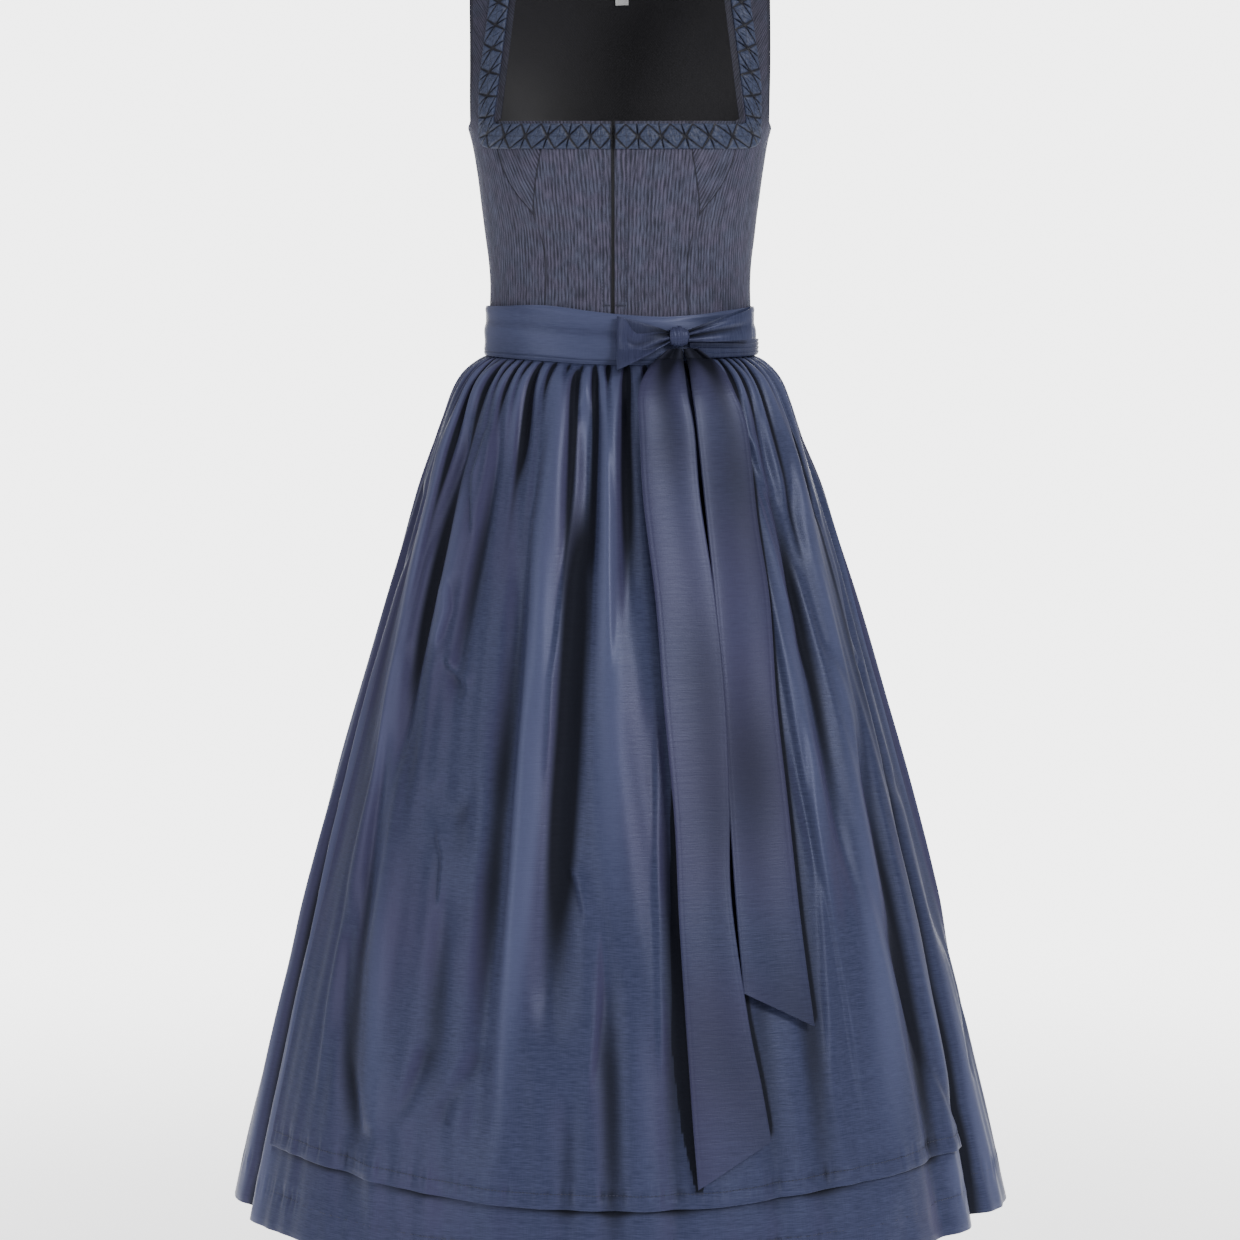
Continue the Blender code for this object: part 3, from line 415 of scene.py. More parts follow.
def gather_height(turn, depth):
    """Gathers under the band: small ridges between sharp valleys at its edge, which join to
    larger ones below. Both are uneven in place, height and length and die away downwards."""
    below = np.maximum(depth, 0)
    start = ease((depth + 0.001) / 0.006)
    wander = 0.9 * np.sin(7 * turn + 0.4) + 0.7 * np.sin(13 * turn + 2.0)
    size = 1 + 0.30 * np.sin(9 * turn + 0.7) + 0.25 * np.sin(17 * turn + 2.2)
    length = GATHER_FADE * (1 + 0.45 * np.sin(11 * turn + 1.1) + 0.35 * np.sin(23 * turn + 0.3))
    small = np.sqrt(np.cos((GATHERS * turn + wander) / 2) ** 2 + 0.02)
    reach = PLEAT_FADE * (1 + 0.40 * np.sin(5 * turn + 2.0) + 0.30 * np.sin(12 * turn + 0.9))
    large = np.sqrt(np.cos((GATHERS / 2 * turn + 1.5 * wander + 1.0) / 2) ** 2 + 0.012)
    total = GATHER_HEIGHT * size * np.exp(-below / length) * (2 * small - 1.45)
    joined = PLEAT_HEIGHT * (2 - size) * np.exp(-below / reach) * ease(depth / 0.02)
    return start * (total + joined * (2 * large - 1.45))


def cloth_height(turn, depth):
    """Soft unevenness of crisp cloth, long down the skirt and short across it."""
    grow = ease(depth / 0.10)
    long = ripple(18 * np.cos(turn), 18 * np.sin(turn) + 7 * depth, 3)
    short = ripple(34 * np.cos(turn) + 4 * depth, 34 * np.sin(turn) - 16 * depth, 4)
    return grow * (0.0010 * long + 0.0006 * short)


def band_wave(turn, column):
    """Shift of the waistband's upper or lower edge at a turn."""
    degrees = (np.degrees(turn) + 180) % 360 - 180
    return read_table(degrees, BAND_WAVE[:, 0], BAND_WAVE[:, column])


def below_band(turn, depth):
    """Depth below the waistband's uneven lower edge, which is forgotten further down."""
    return depth + band_wave(turn, 2) * np.exp(-np.maximum(depth, 0) / 0.05)


def relief(turn, depth):
    """All that the cloth of the skirt does outside its plain ring."""
    return (fold_height(turn, depth) + crease_height(turn, depth) + cloth_height(turn, depth)
            + gather_height(turn, below_band(turn, depth)))


def painted_shading_of(turn, depth):
    """How deep the cloth lies below its neighbours on both sides: near ones for the gathers,
    farther ones for the folds. About 1 in a deep valley and negative on a ridge. The materials
    use it for painted shade in the valleys and a painted highlight on the ridges."""
    folds = fold_height(turn, depth, 0.26) + 0.5 * crease_height(turn, depth)
    gathers = gather_height(turn, below_band(turn, depth))
    turns = turn[0]
    share = np.abs(np.gradient(turns))
    apart = turns[:, None] - turns[None, :]
    total = 0.0
    for height, reach, size in ((gathers, 1.9, 0.0015), (folds + gathers, 9.0, 0.0052)):
        weight = np.exp(-(apart / math.radians(reach)) ** 2) * share
        mean = height @ (weight / weight.sum(axis=1, keepdims=True)).T
        total = total + (mean - height) / size
    return total


def skirt(turn, depth, out=0.0):
    """Point of the skirt's outer face. Its columns lean towards the front near the hem."""
    turn, depth = np.broadcast_arrays(np.asarray(turn, float), np.asarray(depth, float))
    half, deep, square = skirt_ring(below_band(turn, depth))
    lean = np.radians(3.0 - 6.5 * np.clip(depth / SKIRT_LENGTH, 0, 1))
    angle = turn + lean * np.sin(turn)
    x = half * np.abs(np.sin(angle)) ** (2 / square) * np.sign(np.sin(angle))
    y = -deep * np.abs(np.cos(angle)) ** (2 / square) * np.sign(np.cos(angle))
    normal = np.stack([deep * np.sin(angle), -half * np.cos(angle), np.zeros(x.shape)], axis=-1)
    normal /= np.linalg.norm(normal, axis=-1, keepdims=True)
    lift = out + relief(turn, depth)
    return np.stack([x, y, SKIRT_TOP - depth], axis=-1) + normal * lift[..., None]


def band_point(turn, height, out):
    """Point round the waist, a distance outside the seam of bodice and skirt."""
    turn, height = np.broadcast_arrays(np.asarray(turn, float), np.asarray(height, float))
    lower = np.clip((height - BAND_TOP) / (BAND_BOTTOM - BAND_TOP), 0, 1)
    half = 0.1304 + 0.0016 * lower
    deep = 0.0994 + 0.0011 * lower
    across = np.abs(np.sin(turn)) ** (2 / 2.3) * np.sign(np.sin(turn))
    along = np.abs(np.cos(turn)) ** (2 / 2.3) * np.sign(np.cos(turn))
    normal = np.stack([deep * np.sin(turn), -half * np.cos(turn), np.zeros(turn.shape)], axis=-1)
    normal /= np.linalg.norm(normal, axis=-1, keepdims=True)
    point = np.stack([half * across, -deep * along, height], axis=-1)
    return point + normal * np.broadcast_to(out, turn.shape)[..., None]


def band_turn(across):
    return np.arcsin((abs(across) / 0.1345) ** (2.3 / 2)) * np.sign(across)


class Cloth:
    """Points, faces and their values, gathered from several grids into one mesh."""

    def __init__(self):
        self.points, self.faces, self.uv, self.slots = [], [], [], []
        self.shade, self.painted_shading = [], []
        self.count = 0

    def grid(self, points, u, v, slot=0, shade=0.0, painted_shading=0.0, flip=False, ring=False):
        """One sheet of quads. Returns its point numbers."""
        rows, columns = points.shape[:2]
        index = self.count + np.arange(rows * columns).reshape(rows, columns)
        self.count += rows * columns
        shape = (rows, columns)
        self.points.append(points.reshape(-1, 3))
        self.uv.append(np.stack([np.broadcast_to(u, shape), np.broadcast_to(v, shape)], -1)
                       .reshape(-1, 2))
        self.shade.append(np.broadcast_to(shade, shape).reshape(-1))
        self.painted_shading.append(np.broadcast_to(painted_shading, shape).reshape(-1))
        self.strip(index, slot, flip, ring)
        return index

    def strip(self, index, slot=0, flip=False, ring=False):
        """Quads between neighbouring rows and columns of point numbers."""
        if ring:
            index = np.concatenate([index, index[:, :1]], axis=1)
        quads = np.stack([index[:-1, :-1], index[:-1, 1:], index[1:, 1:], index[1:, :-1]], -1)
        quads = quads.reshape(-1, 4)
        self.faces.append(quads[:, ::-1] if flip else quads)
        self.slots.append(np.full(len(quads), slot))

    def shell(self, outer, inner, u, v, inner_slot=0, shade=0.0, painted_shading=0.0, flip=False,
              ring=False):
        """Two sheets with rims that close them."""
        near = self.grid(outer, u, v, 0, shade, painted_shading, flip, ring)
        far = self.grid(inner, u, v, inner_slot, shade, painted_shading, not flip, ring)
        self.strip(np.stack([far[0], near[0]]), 0, flip, ring)
        self.strip(np.stack([near[-1], far[-1]]), 0, flip, ring)
        if not ring:
            self.strip(np.stack([near[:, 0], far[:, 0]]), 0, flip)
            self.strip(np.stack([far[:, -1], near[:, -1]]), 0, flip)

    def bars(self, starts, ends, outs, width, height, slot):
        """Small raised bars such as stitches, each from a start to an end point."""
        along = ends - starts
        along /= np.linalg.norm(along, axis=1, keepdims=True)
        wide = np.cross(along, outs)
        wide *= width / 2 / np.linalg.norm(wide, axis=1, keepdims=True)
        rise = outs * height
        low = [starts - wide, starts + wide, ends + wide, ends - wide]
        cut = along * height
        top = [starts - wide * 0.6 + rise + cut, starts + wide * 0.6 + rise + cut,
               ends + wide * 0.6 + rise - cut, ends - wide * 0.6 + rise - cut]
        corners = np.stack(low + top, axis=1)
        number = len(corners)
        index = self.count + np.arange(number * 8).reshape(number, 8)
        self.count += number * 8
        self.points.append(corners.reshape(-1, 3))
        self.uv.append(np.zeros((number * 8, 2)))
        self.shade.append(np.zeros(number * 8))
        self.painted_shading.append(np.zeros(number * 8))
        order = np.array([(4, 5, 6, 7), (0, 1, 5, 4), (1, 2, 6, 5), (2, 3, 7, 6), (3, 0, 4, 7),
                          (3, 2, 1, 0)])
        quads = index[:, order].reshape(-1, 4)
        self.faces.append(quads)
        self.slots.append(np.full(len(quads), slot))

    def build(self, name, materials, crease=60):
        """Make the object, with its own UV in metres, and shade and the painted shade and
        highlight values as attributes.
        """
        points = np.concatenate(self.points)
        faces = np.concatenate(self.faces)
        mesh = bpy.data.meshes.new(name)
        mesh.vertices.add(len(points))
        mesh.vertices.foreach_set("co", points.astype(np.float32).ravel())
        mesh.loops.add(faces.size)
        mesh.loops.foreach_set("vertex_index", faces.astype(np.int32).ravel())
        mesh.polygons.add(len(faces))
        mesh.polygons.foreach_set("loop_start", np.arange(0, faces.size, 4, dtype=np.int32))
        mesh.polygons.foreach_set("loop_total", np.full(len(faces), 4, dtype=np.int32))
        mesh.polygons.foreach_set("material_index", np.concatenate(self.slots).astype(np.int32))
        mesh.update(calc_edges=True)
        layer = mesh.uv_layers.new(name="cloth")
        layer.data.foreach_set("uv", np.concatenate(self.uv)[faces.ravel()].astype(np.float32)
                               .ravel())
        for word, values in (("shade", self.shade), ("painted_shading", self.painted_shading)):
            layer = mesh.attributes.new(word, "FLOAT", "POINT")
            layer.data.foreach_set("value", np.concatenate(values).astype(np.float32))
        mesh.shade_smooth()
        mesh.set_sharp_from_angle(angle=math.radians(crease))
        for material in materials:
            mesh.materials.append(material)
        thing = bpy.data.objects.new(name, mesh)
        bpy.context.scene.collection.objects.link(thing)
        return thing


class Value:
    """One output of a shader graph. Arithmetic on it adds Math nodes."""

    def __init__(self, graph, socket):
        self.graph, self.socket = graph, socket

    def math(self, operation, *others):
        return self.graph.math(operation, self, *others)

    def __add__(self, other):
        return self.math("ADD", other)

    def __radd__(self, other):
        return self.graph.math("ADD", other, self)

    def __sub__(self, other):
        return self.math("SUBTRACT", other)

    def __rsub__(self, other):
        return self.graph.math("SUBTRACT", other, self)

    def __mul__(self, other):
        return self.math("MULTIPLY", other)

    def __rmul__(self, other):
        return self.graph.math("MULTIPLY", other, self)

    def __truediv__(self, other):
        return self.math("DIVIDE", other)

    def sine(self):
        return self.math("SINE")

    def between(self, low, high):
        """0 below low, 1 above high, and an eased step between them."""
        return self.graph.node("ShaderNodeMapRange", {"interpolation_type": "SMOOTHSTEP"},
                               {"Value": self, "From Min": low, "From Max": high})


class Graph:
    """A material and its nodes."""

    def __init__(self, name, **constants):
        self.material = bpy.data.materials.new(name)
        self.material.use_nodes = True
        self.tree = self.material.node_tree
        self.shader = self.tree.nodes["Principled BSDF"]
        for socket, value in constants.items():
            self.shader.inputs[socket.replace("_", " ")].default_value = value

    def node(self, kind, settings=None, sockets=None, output=0):
        """Add any node: its settings first, then its sockets. Returns one of its outputs."""
        made = self.tree.nodes.new(kind)
        for key, value in (settings or {}).items():
            setattr(made, key, value)
        for key, value in (sockets or {}).items():
            if isinstance(value, Value):
                self.tree.links.new(value.socket, made.inputs[key])
            else:
                made.inputs[key].default_value = value
        return Value(self, made.outputs[output])

    def math(self, operation, *values):
        return self.node("ShaderNodeMath", {"operation": operation}, dict(enumerate(values)))

    def uv(self):
        """The cloth's own width and length coordinates, in metres."""
        place = self.node("ShaderNodeUVMap", {"uv_map": "cloth"})
        parts = self.node("ShaderNodeSeparateXYZ", None, {0: place})
        return parts, Value(self, parts.socket.node.outputs[1])

    def attribute(self, word):
        """Value that was stored at each point of a piece."""
        return self.node("ShaderNodeAttribute", {"attribute_name": word}, output=2)

    def vector(self, x, y, z=0.0):
        return self.node("ShaderNodeCombineXYZ", None, {0: x, 1: y, 2: z})

    def noise(self, x, y, z=0.0, detail=2.0):
        return self.node("ShaderNodeTexNoise", None,
                         {"Vector": self.vector(x, y, z), "Scale": 1.0, "Detail": detail})

    def place_noise(self, scale, detail=2.0):
        """Noise that depends on where a point is on the dress."""
        place = self.node("ShaderNodeTexCoord", output=3)
        return self.node("ShaderNodeTexNoise", None,
                         {"Vector": place, "Scale": scale, "Detail": detail})

    def mix(self, share, first, second):
        """Colour between two colours."""
        return self.node("ShaderNodeMix", {"data_type": "RGBA"},
                         {0: share, 6: first, 7: second}, output=2)

    def set(self, socket, value):
        self.tree.links.new(value.socket, self.shader.inputs[socket])

    def bump(self, height, distance, strength=1.0):
        self.set("Normal", self.node("ShaderNodeBump", None,
                                     {"Height": height, "Distance": distance,
                                      "Strength": strength}))


def colour(red, green, blue):
    """Linear colour of a screen colour from 0 to 255."""
    return (*[((c / 255 + 0.055) / 1.055) ** 2.4 if c > 10 else c / 3294
              for c in (red, green, blue)], 1.0)


def taffeta(name, light, dark, violet, painted_highlight, deep):
    """Crisp two-tone silk: fine weft slubs across the cloth, a colour that turns from blue to
    violet with the slope of the cloth, a painted highlight on ridges and near black painted shade
    in hollows."""
    g = Graph(name, Sheen_Weight=0.06, Sheen_Roughness=0.45, Sheen_Tint=(0.55, 0.60, 1.0, 1.0),
              Specular_IOR_Level=0.33, Specular_Tint=(0.68, 0.73, 1.0, 1.0))
    u, v = g.uv()
    fine = g.noise(u * 90.0, v * 1300.0, detail=1.0)
    slub = g.noise(u * 22.0, v * 420.0, 5.0)
    warp = g.noise(u * 1500.0, v * 60.0, 9.0, detail=1.0)
    patch = g.place_noise(5.5)
    tone = 0.5 + (fine - 0.5) * 0.80 + (slub - 0.5) * 0.42 + (warp - 0.5) * 0.25
    painted_shading = g.attribute("painted_shading")
    turned = (g.attribute("shade") * 0.9 + (patch - 0.5) * 1.6).between(-0.1, 0.6)
    base = g.mix(turned * 0.7, g.mix(tone.between(0.2, 0.8), dark, light), violet)
    # painted highlight: lighter colour where the cloth stands above its neighbours
    base = g.mix((0 - painted_shading).between(0.1, 1.0) * 0.60, base, painted_highlight)
    # painted shade: near black in the valleys and in the painted shadows under the apron's hem and
    # beside the tails
    g.set("Base Color", g.mix(painted_shading.between(0.0, 0.95) * 0.96, base, deep))
    g.set("Roughness", 0.38 + (slub - 0.5) * 0.14 + painted_shading.between(0.2, 1.0) * 0.35)
    g.bump(fine * 0.6 + slub * 0.8 + warp * 0.2, 0.0003, 0.5)
    return g.material


def jacquard():
    """Shadow striped cloth: broken light and dark ribs along the length, dark at its seams and
    over the straps.
    """
    g = Graph("jacquard", Sheen_Weight=0.12, Sheen_Roughness=0.4,
              Sheen_Tint=(0.75, 0.80, 1.0, 1.0), Specular_IOR_Level=0.40)
    u, v = g.uv()
    drift = g.noise(u * 60.0, v * 22.0, 2.0)
    rib = ((u * (2 * math.pi / 0.0035)) + drift * 6.0).sine()
    broken = g.noise(u * 700.0, v * 75.0, 4.0, detail=2.0)
    thread = g.noise(u * 2600.0, v * 900.0, 6.0, detail=1.0)
    wide = g.noise(u * 130.0, v * 9.0, 8.0)
    height = rib * 0.30 + (broken - 0.5) * 2.3 + (thread - 0.5) * 0.9 + (wide - 0.5) * 0.7
    tone = height.between(-0.70, 0.85)
    warm = g.place_noise(60.0).between(0.35, 0.65)
    light = g.mix(warm, colour(88, 91, 115), colour(92, 88, 112))
    base = g.mix(tone, colour(34, 35, 51), light)
    g.set("Base Color", g.mix(g.attribute("shade") * 0.85, base, colour(14, 15, 26)))
    g.set("Roughness", 0.66 - tone * 0.14)
    g.bump(height, 0.0004, 0.6)
    return g.material


def ribbon():
    """Pleated ribbon: taffeta with painted shade, near black where the shade says that a groove
    is near.
    """
    g = Graph("ribbon", Sheen_Weight=0.15, Sheen_Roughness=0.35,
              Sheen_Tint=(0.65, 0.75, 1.0, 1.0), Specular_IOR_Level=0.45)
    u, v = g.uv()
    fine = g.noise(u * 400.0, v * 900.0, detail=2.0)
    patch = g.place_noise(260.0)
    face = g.mix((fine * 0.6 + patch * 0.4).between(0.3, 0.7), colour(42, 49, 72),
                 colour(66, 75, 102))
    g.set("Base Color", g.mix(g.attribute("shade").between(0.05, 0.85), face, colour(7, 8, 24)))
    g.set("Roughness", 0.42 + fine * 0.20)
    g.bump(fine, 0.0003, 0.4)
    return g.material


def plain(name, dark, light, roughness, scale, sheen=0.1):
    """Plain close weave in two near tones."""
    g = Graph(name, Sheen_Weight=sheen, Sheen_Roughness=0.5)
    u, v = g.uv()
    weave = g.noise(u * scale, v * scale, detail=3.0)
    cross = ((u + v) * (scale * 6.0)).sine() * 0.2
    patch = g.place_noise(14.0)
    tone = (weave + cross + (patch - 0.5) * 0.6).between(0.25, 0.8)
    g.set("Base Color", g.mix(tone, dark, light))
    g.set("Roughness", roughness + (weave - 0.5) * 0.15)
    g.bump(weave + cross, 0.0003, 0.35)
    return g.material


# the last two colours are the painted highlight and the painted shade
TAFFETA = taffeta("taffeta", colour(64, 69, 97), colour(44, 49, 74), colour(63, 59, 89),
                  colour(89, 95, 127), colour(5, 6, 9))
JACQUARD = jacquard()
RIBBON = ribbon()
LINING = plain("lining", colour(24, 23, 27), colour(36, 35, 40), 0.6, 700.0, 0.1)
LABEL = plain("label", colour(226, 226, 224), colour(246, 246, 245), 0.7, 900.0)
TAPE = plain("tape", colour(10, 10, 13), colour(22, 22, 27), 0.6, 900.0)
THREAD = plain("thread", colour(26, 29, 46), colour(48, 52, 76), 0.5, 2500.0)


def show(thing, slot, *nodes):
    """Let a piece stand for CAD nodes, which it hides. The slot is not used."""
    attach(thing, "root")
    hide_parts(*nodes)
    return thing


def slope_of(points, turn):
    """How far a sheet leans sideways from the plain ring, from -1 to 1."""
    normal = np.cross(np.gradient(points, axis=1), np.gradient(points, axis=0))
    normal /= np.maximum(np.linalg.norm(normal, axis=-1, keepdims=True), 1e-12)
    facing = normal[..., 0] * np.cos(turn) - -normal[..., 1] * np.sin(turn)
    return np.clip(facing * np.sign(-normal[..., 1:2].mean() or 1.0), -1, 1)


def dense_ends(count, power=0.75):
    """Shares from 0 to 1 that lie closer together at both ends."""
    t = np.linspace(-1, 1, count)
    return (np.sin(t * math.pi / 2) * power + t * (1 - power)) / 2 + 0.5


def arc_length(turns, heights, back=False):
    """Length round the bodice from its middle, read at the height of the waist and widened or
    narrowed with the torso, so that stripes neither crowd nor spread at the sides."""
    steps = np.linspace(-math.pi / 2, math.pi / 2, 400)
    ring = torso(steps, -0.30, 0.0, back)
    marks = np.concatenate([[0], np.cumsum(np.linalg.norm(np.diff(ring, axis=0), axis=1))])
    wider = torso_ring(heights)[0] / torso_ring(-0.30)[0]
    return (np.interp(turns, steps, marks) - marks[-1] / 2) * wider


def panel(left, right, heights, columns=44, lean=None):
    """A bodice panel between two edges of turns, rounded down towards its seams."""
    share = dense_ends(columns)[None, :]
    turns = left[:, None] + (right - left)[:, None] * share
    heights = np.broadcast_to(heights[:, None], turns.shape)
    base = torso(turns, heights)
    width = np.linalg.norm(base[:, -1] - base[:, 0], axis=1)[:, None]
    edge = np.minimum(share, 1 - share) * np.maximum(width, 1e-4)
    round_ = -0.0005 * np.exp(-(edge / 0.0013) ** 2)
    tension = 0.0004 * np.tanh(ripple(base[..., 0] * 60, base[..., 2] * 25, 11))
    outer = torso(turns, heights, round_ + tension)
    inner = torso(turns, heights, -BODICE_WALL + 0.0001)
    across = arc_length(turns, heights)
    u = across if lean is None else lean(across, base[..., 2])
    cloth = Cloth()
    # shade: dark along the seams, darker over the straps and darker still within 5.5 mm of the
    # straps' edges
    strap = ease((heights + 0.20) / 0.02)
    seam = np.maximum(np.exp(-(edge / 0.0007) ** 2), strap * (0.45 + 0.4 * (edge < 0.0055)))
    cloth.shell(outer, inner, u, base[..., 2], inner_slot=1, shade=seam, flip=True)
    return cloth


def bust_line(heights, column):
    return read_table(heights, BUST_SEAM[:, 0], BUST_SEAM[:, column])


def armhole_turn(side, heights):
    """Side seam up to the underarm, then the armhole edge of the strap."""
    edge = turn_at(np.full(len(heights), side * STRAP_OUTER), heights)
    open_ = ease((heights - UNDERARM) / 0.012)
    return side * math.pi / 2 + (edge - side * math.pi / 2) * open_


def stitch_line(cloth, points, outs, slot, pitch=0.0034, length=0.0023, width=0.0007):
    """Even stitches along a line of points."""
    marks = np.concatenate([[0], np.cumsum(np.linalg.norm(np.diff(points, axis=0), axis=1))])
    starts = np.arange(pitch, marks[-1] - length, pitch)

    def along(at):
        return np.stack([np.interp(at, marks, points[:, k]) for k in range(3)], axis=1)

    normals = np.stack([np.interp(starts, marks, outs[:, k]) for k in range(3)], axis=1)
    normals /= np.linalg.norm(normals, axis=1, keepdims=True)
    cloth.bars(along(starts), along(starts + length), normals, width, 0.0003, slot)


def front_pieces():
    """Centre fronts, bust inserts and side fronts, one of each on both sides."""
    rows = np.linspace(WAIST_SEAM, NECKLINE, 84)
    upper = np.linspace(-0.2755, NECKLINE, 40)
    straps = np.linspace(NECKLINE, 0.0, 80)[1:]
    half_gap = SEAM_GAP * 0.3
    for side, word in ((-1, "left"), (1, "right")):
        slit = SLIT_CENTRE + side * SLIT_HALF
        seam = FRONT_MIDDLE + side * (bust_line(rows, 1) - half_gap)
        left = turn_at(np.full(len(rows), slit), rows)
        cloth = panel(left, turn_at(seam, rows), rows)
        stitch_x = SLIT_CENTRE + (0.0130 if side > 0 else -0.0100)
        heights = np.linspace(-0.3645, TRIM_LOWER, 60)
        turns = turn_at(np.full(60, stitch_x), heights)
        line = torso(turns, heights, 0.0002)
        outs = torso(turns, heights, 0.01) - torso(turns, heights, 0.0)
        stitch_line(cloth, line, outs / 0.01, 2)
        inside = SLIT_CENTRE + side * 0.0028
        cross = np.linspace(inside, stitch_x, 5)
        turns = turn_at(cross, np.full(5, -0.3645))
        tack = torso(turns, np.full(5, -0.3645), 0.0002)
        outs = torso(turns, np.full(5, -0.3645), 0.01) - torso(turns, np.full(5, -0.3645), 0.0)
        cloth.bars(tack[:1], tack[-1:], outs[:1] / 0.01, 0.0016, 0.0006, 2)
        thing = cloth.build("looks_front_" + word, [JACQUARD, LINING, THREAD])
        show(thing, "bodice_jacquard", "front_" + word)

        inner_edge = FRONT_MIDDLE + side * (bust_line(upper, 1) + half_gap)
        outer_edge = FRONT_MIDDLE + side * (bust_line(upper, 2) - half_gap)
        outer_edge[0] = inner_edge[0] + side * 0.0004
        cloth = panel(turn_at(inner_edge, upper), turn_at(outer_edge, upper), upper, 30,
                      lambda x, z, s=side: x - s * 0.45 * z)
        thing = cloth.build("looks_bust_wedge_" + word, [JACQUARD, LINING])
        show(thing, "bodice_jacquard", "bust_wedge_" + word)

        inner_edge = FRONT_MIDDLE + side * (bust_line(rows, 2) + half_gap)
        strap_edge = side * (NECK_HALF - NECK_SPREAD * straps)
        heights = np.concatenate([rows, straps])
        inner_turn = turn_at(np.concatenate([inner_edge, strap_edge]), heights)
        cloth = panel(inner_turn, armhole_turn(side, heights), heights, 52,
                      lambda x, z, s=side: x - s * 2.2 * np.maximum(0, z + 0.30) ** 2)
        thing = cloth.build("looks_side_front_" + word, [JACQUARD, LINING])
        show(thing, "bodice_jacquard", "side_front_" + word)


def back_grid(rows, columns):
    """Turns and heights of the back: straps at both sides and a rounded neck between."""
    heights = np.linspace(WAIST_SEAM, 0.0, rows)
    strap_line = turn_at(read_table(heights, BACK_STRAP[:, 0], BACK_STRAP[:, 1]), heights)
    edge = armhole_turn(1, heights)
    neck = dense_ends(columns) * 2 - 1
    share = dense_ends(columns // 3)
    left = -edge[:, None] + (edge - strap_line)[:, None] * share[:-1]
    right = strap_line[:, None] + (edge - strap_line)[:, None] * share[1:]
    turns = np.concatenate([left, strap_line[:, None] * neck, right], axis=1)
    drop = np.zeros(turns.shape[1])
    first = left.shape[1]
    drop[first:first + columns] = BACK_NECK_DROP * (1 - np.abs(neck) ** 5)
    stretch = (-drop - WAIST_SEAM) / -WAIST_SEAM
    return turns, WAIST_SEAM + (heights[:, None] - WAIST_SEAM) * stretch


def back_pieces():
    turns, heights = back_grid(130, 60)
    base = torso(turns, heights, 0.0, True)
    tension = 0.0005 * np.tanh(ripple(base[..., 0] * 45, base[..., 2] * 22, 12))
    outer = torso(turns, heights, tension, True)
    inner = torso(turns, heights, -BODICE_WALL, True)
    u = arc_length(turns, heights, True)
    cloth = Cloth()
    cloth.shell(outer, inner, u, base[..., 2], inner_slot=1, flip=False)
    thing = show(cloth.build("looks_back", [JACQUARD, LINING]), "bodice_jacquard", "back")

    soft = 0.0004 * np.tanh(ripple(base[..., 0] * 30, base[..., 2] * 18, 13)) - 0.0021
    cloth = Cloth()
    cloth.shell(torso(turns, heights, soft, True),
                torso(turns, heights, soft - LINING_WALL, True), u, base[..., 2])
    thing = show(cloth.build("looks_back_lining", [LINING]), "lining", "back_lining")

    rows = np.linspace(-0.0715, -0.042, 24)[:, None]
    across = np.linspace(0.0085, -0.0045, 16)[None, :] * np.ones((24, 1))
    depth_in = -BODICE_WALL - LINING_WALL - SEAM_GAP - LABEL_GAP + 0 * across
    curl = 0.0004 * np.sin(across * 260 + rows * 90)
    label = turn_at(across, rows + 0 * across)
    cloth = Cloth()
    cloth.shell(torso(label, rows, depth_in + curl, True),
                torso(label, rows, depth_in + curl - 0.0006, True), across, rows + 0 * across)
    thing = show(cloth.build("looks_neck_label", [LABEL]), "label", "neck_label")


def zip_tape():
    """Tape behind the slit, with the closed coil of a hidden zip on it."""
    heights = np.linspace(WAIST_SEAM, NECKLINE - 0.004, 80)
    across = np.linspace(SLIT_CENTRE - 0.010, SLIT_CENTRE + 0.010, 12)[None, :]
    across = across + 0 * heights[:, None]
    rows = heights[:, None] + 0 * across
    turns = turn_at(across, rows)
    depth_in = -BODICE_WALL - SEAM_GAP
    cloth = Cloth()
    cloth.shell(torso(turns, rows, depth_in), torso(turns, rows, depth_in - 0.001), across, rows,
                flip=True)
    marks = np.arange(WAIST_SEAM + 0.002, NECKLINE - 0.008, 0.0016)
    left = torso(turn_at(np.full(len(marks), SLIT_CENTRE - 0.0009), marks), marks, depth_in)
    right = torso(turn_at(np.full(len(marks), SLIT_CENTRE + 0.0009), marks), marks, depth_in)
    outs = np.tile([[0.0, -1.0, 0.0]], (len(marks), 1))
    cloth.bars(left, right, outs, 0.0009, 0.0002, 0)
    thing = show(cloth.build("looks_front_zip_tape", [TAPE]), "zip_tape", "front_zip_tape")


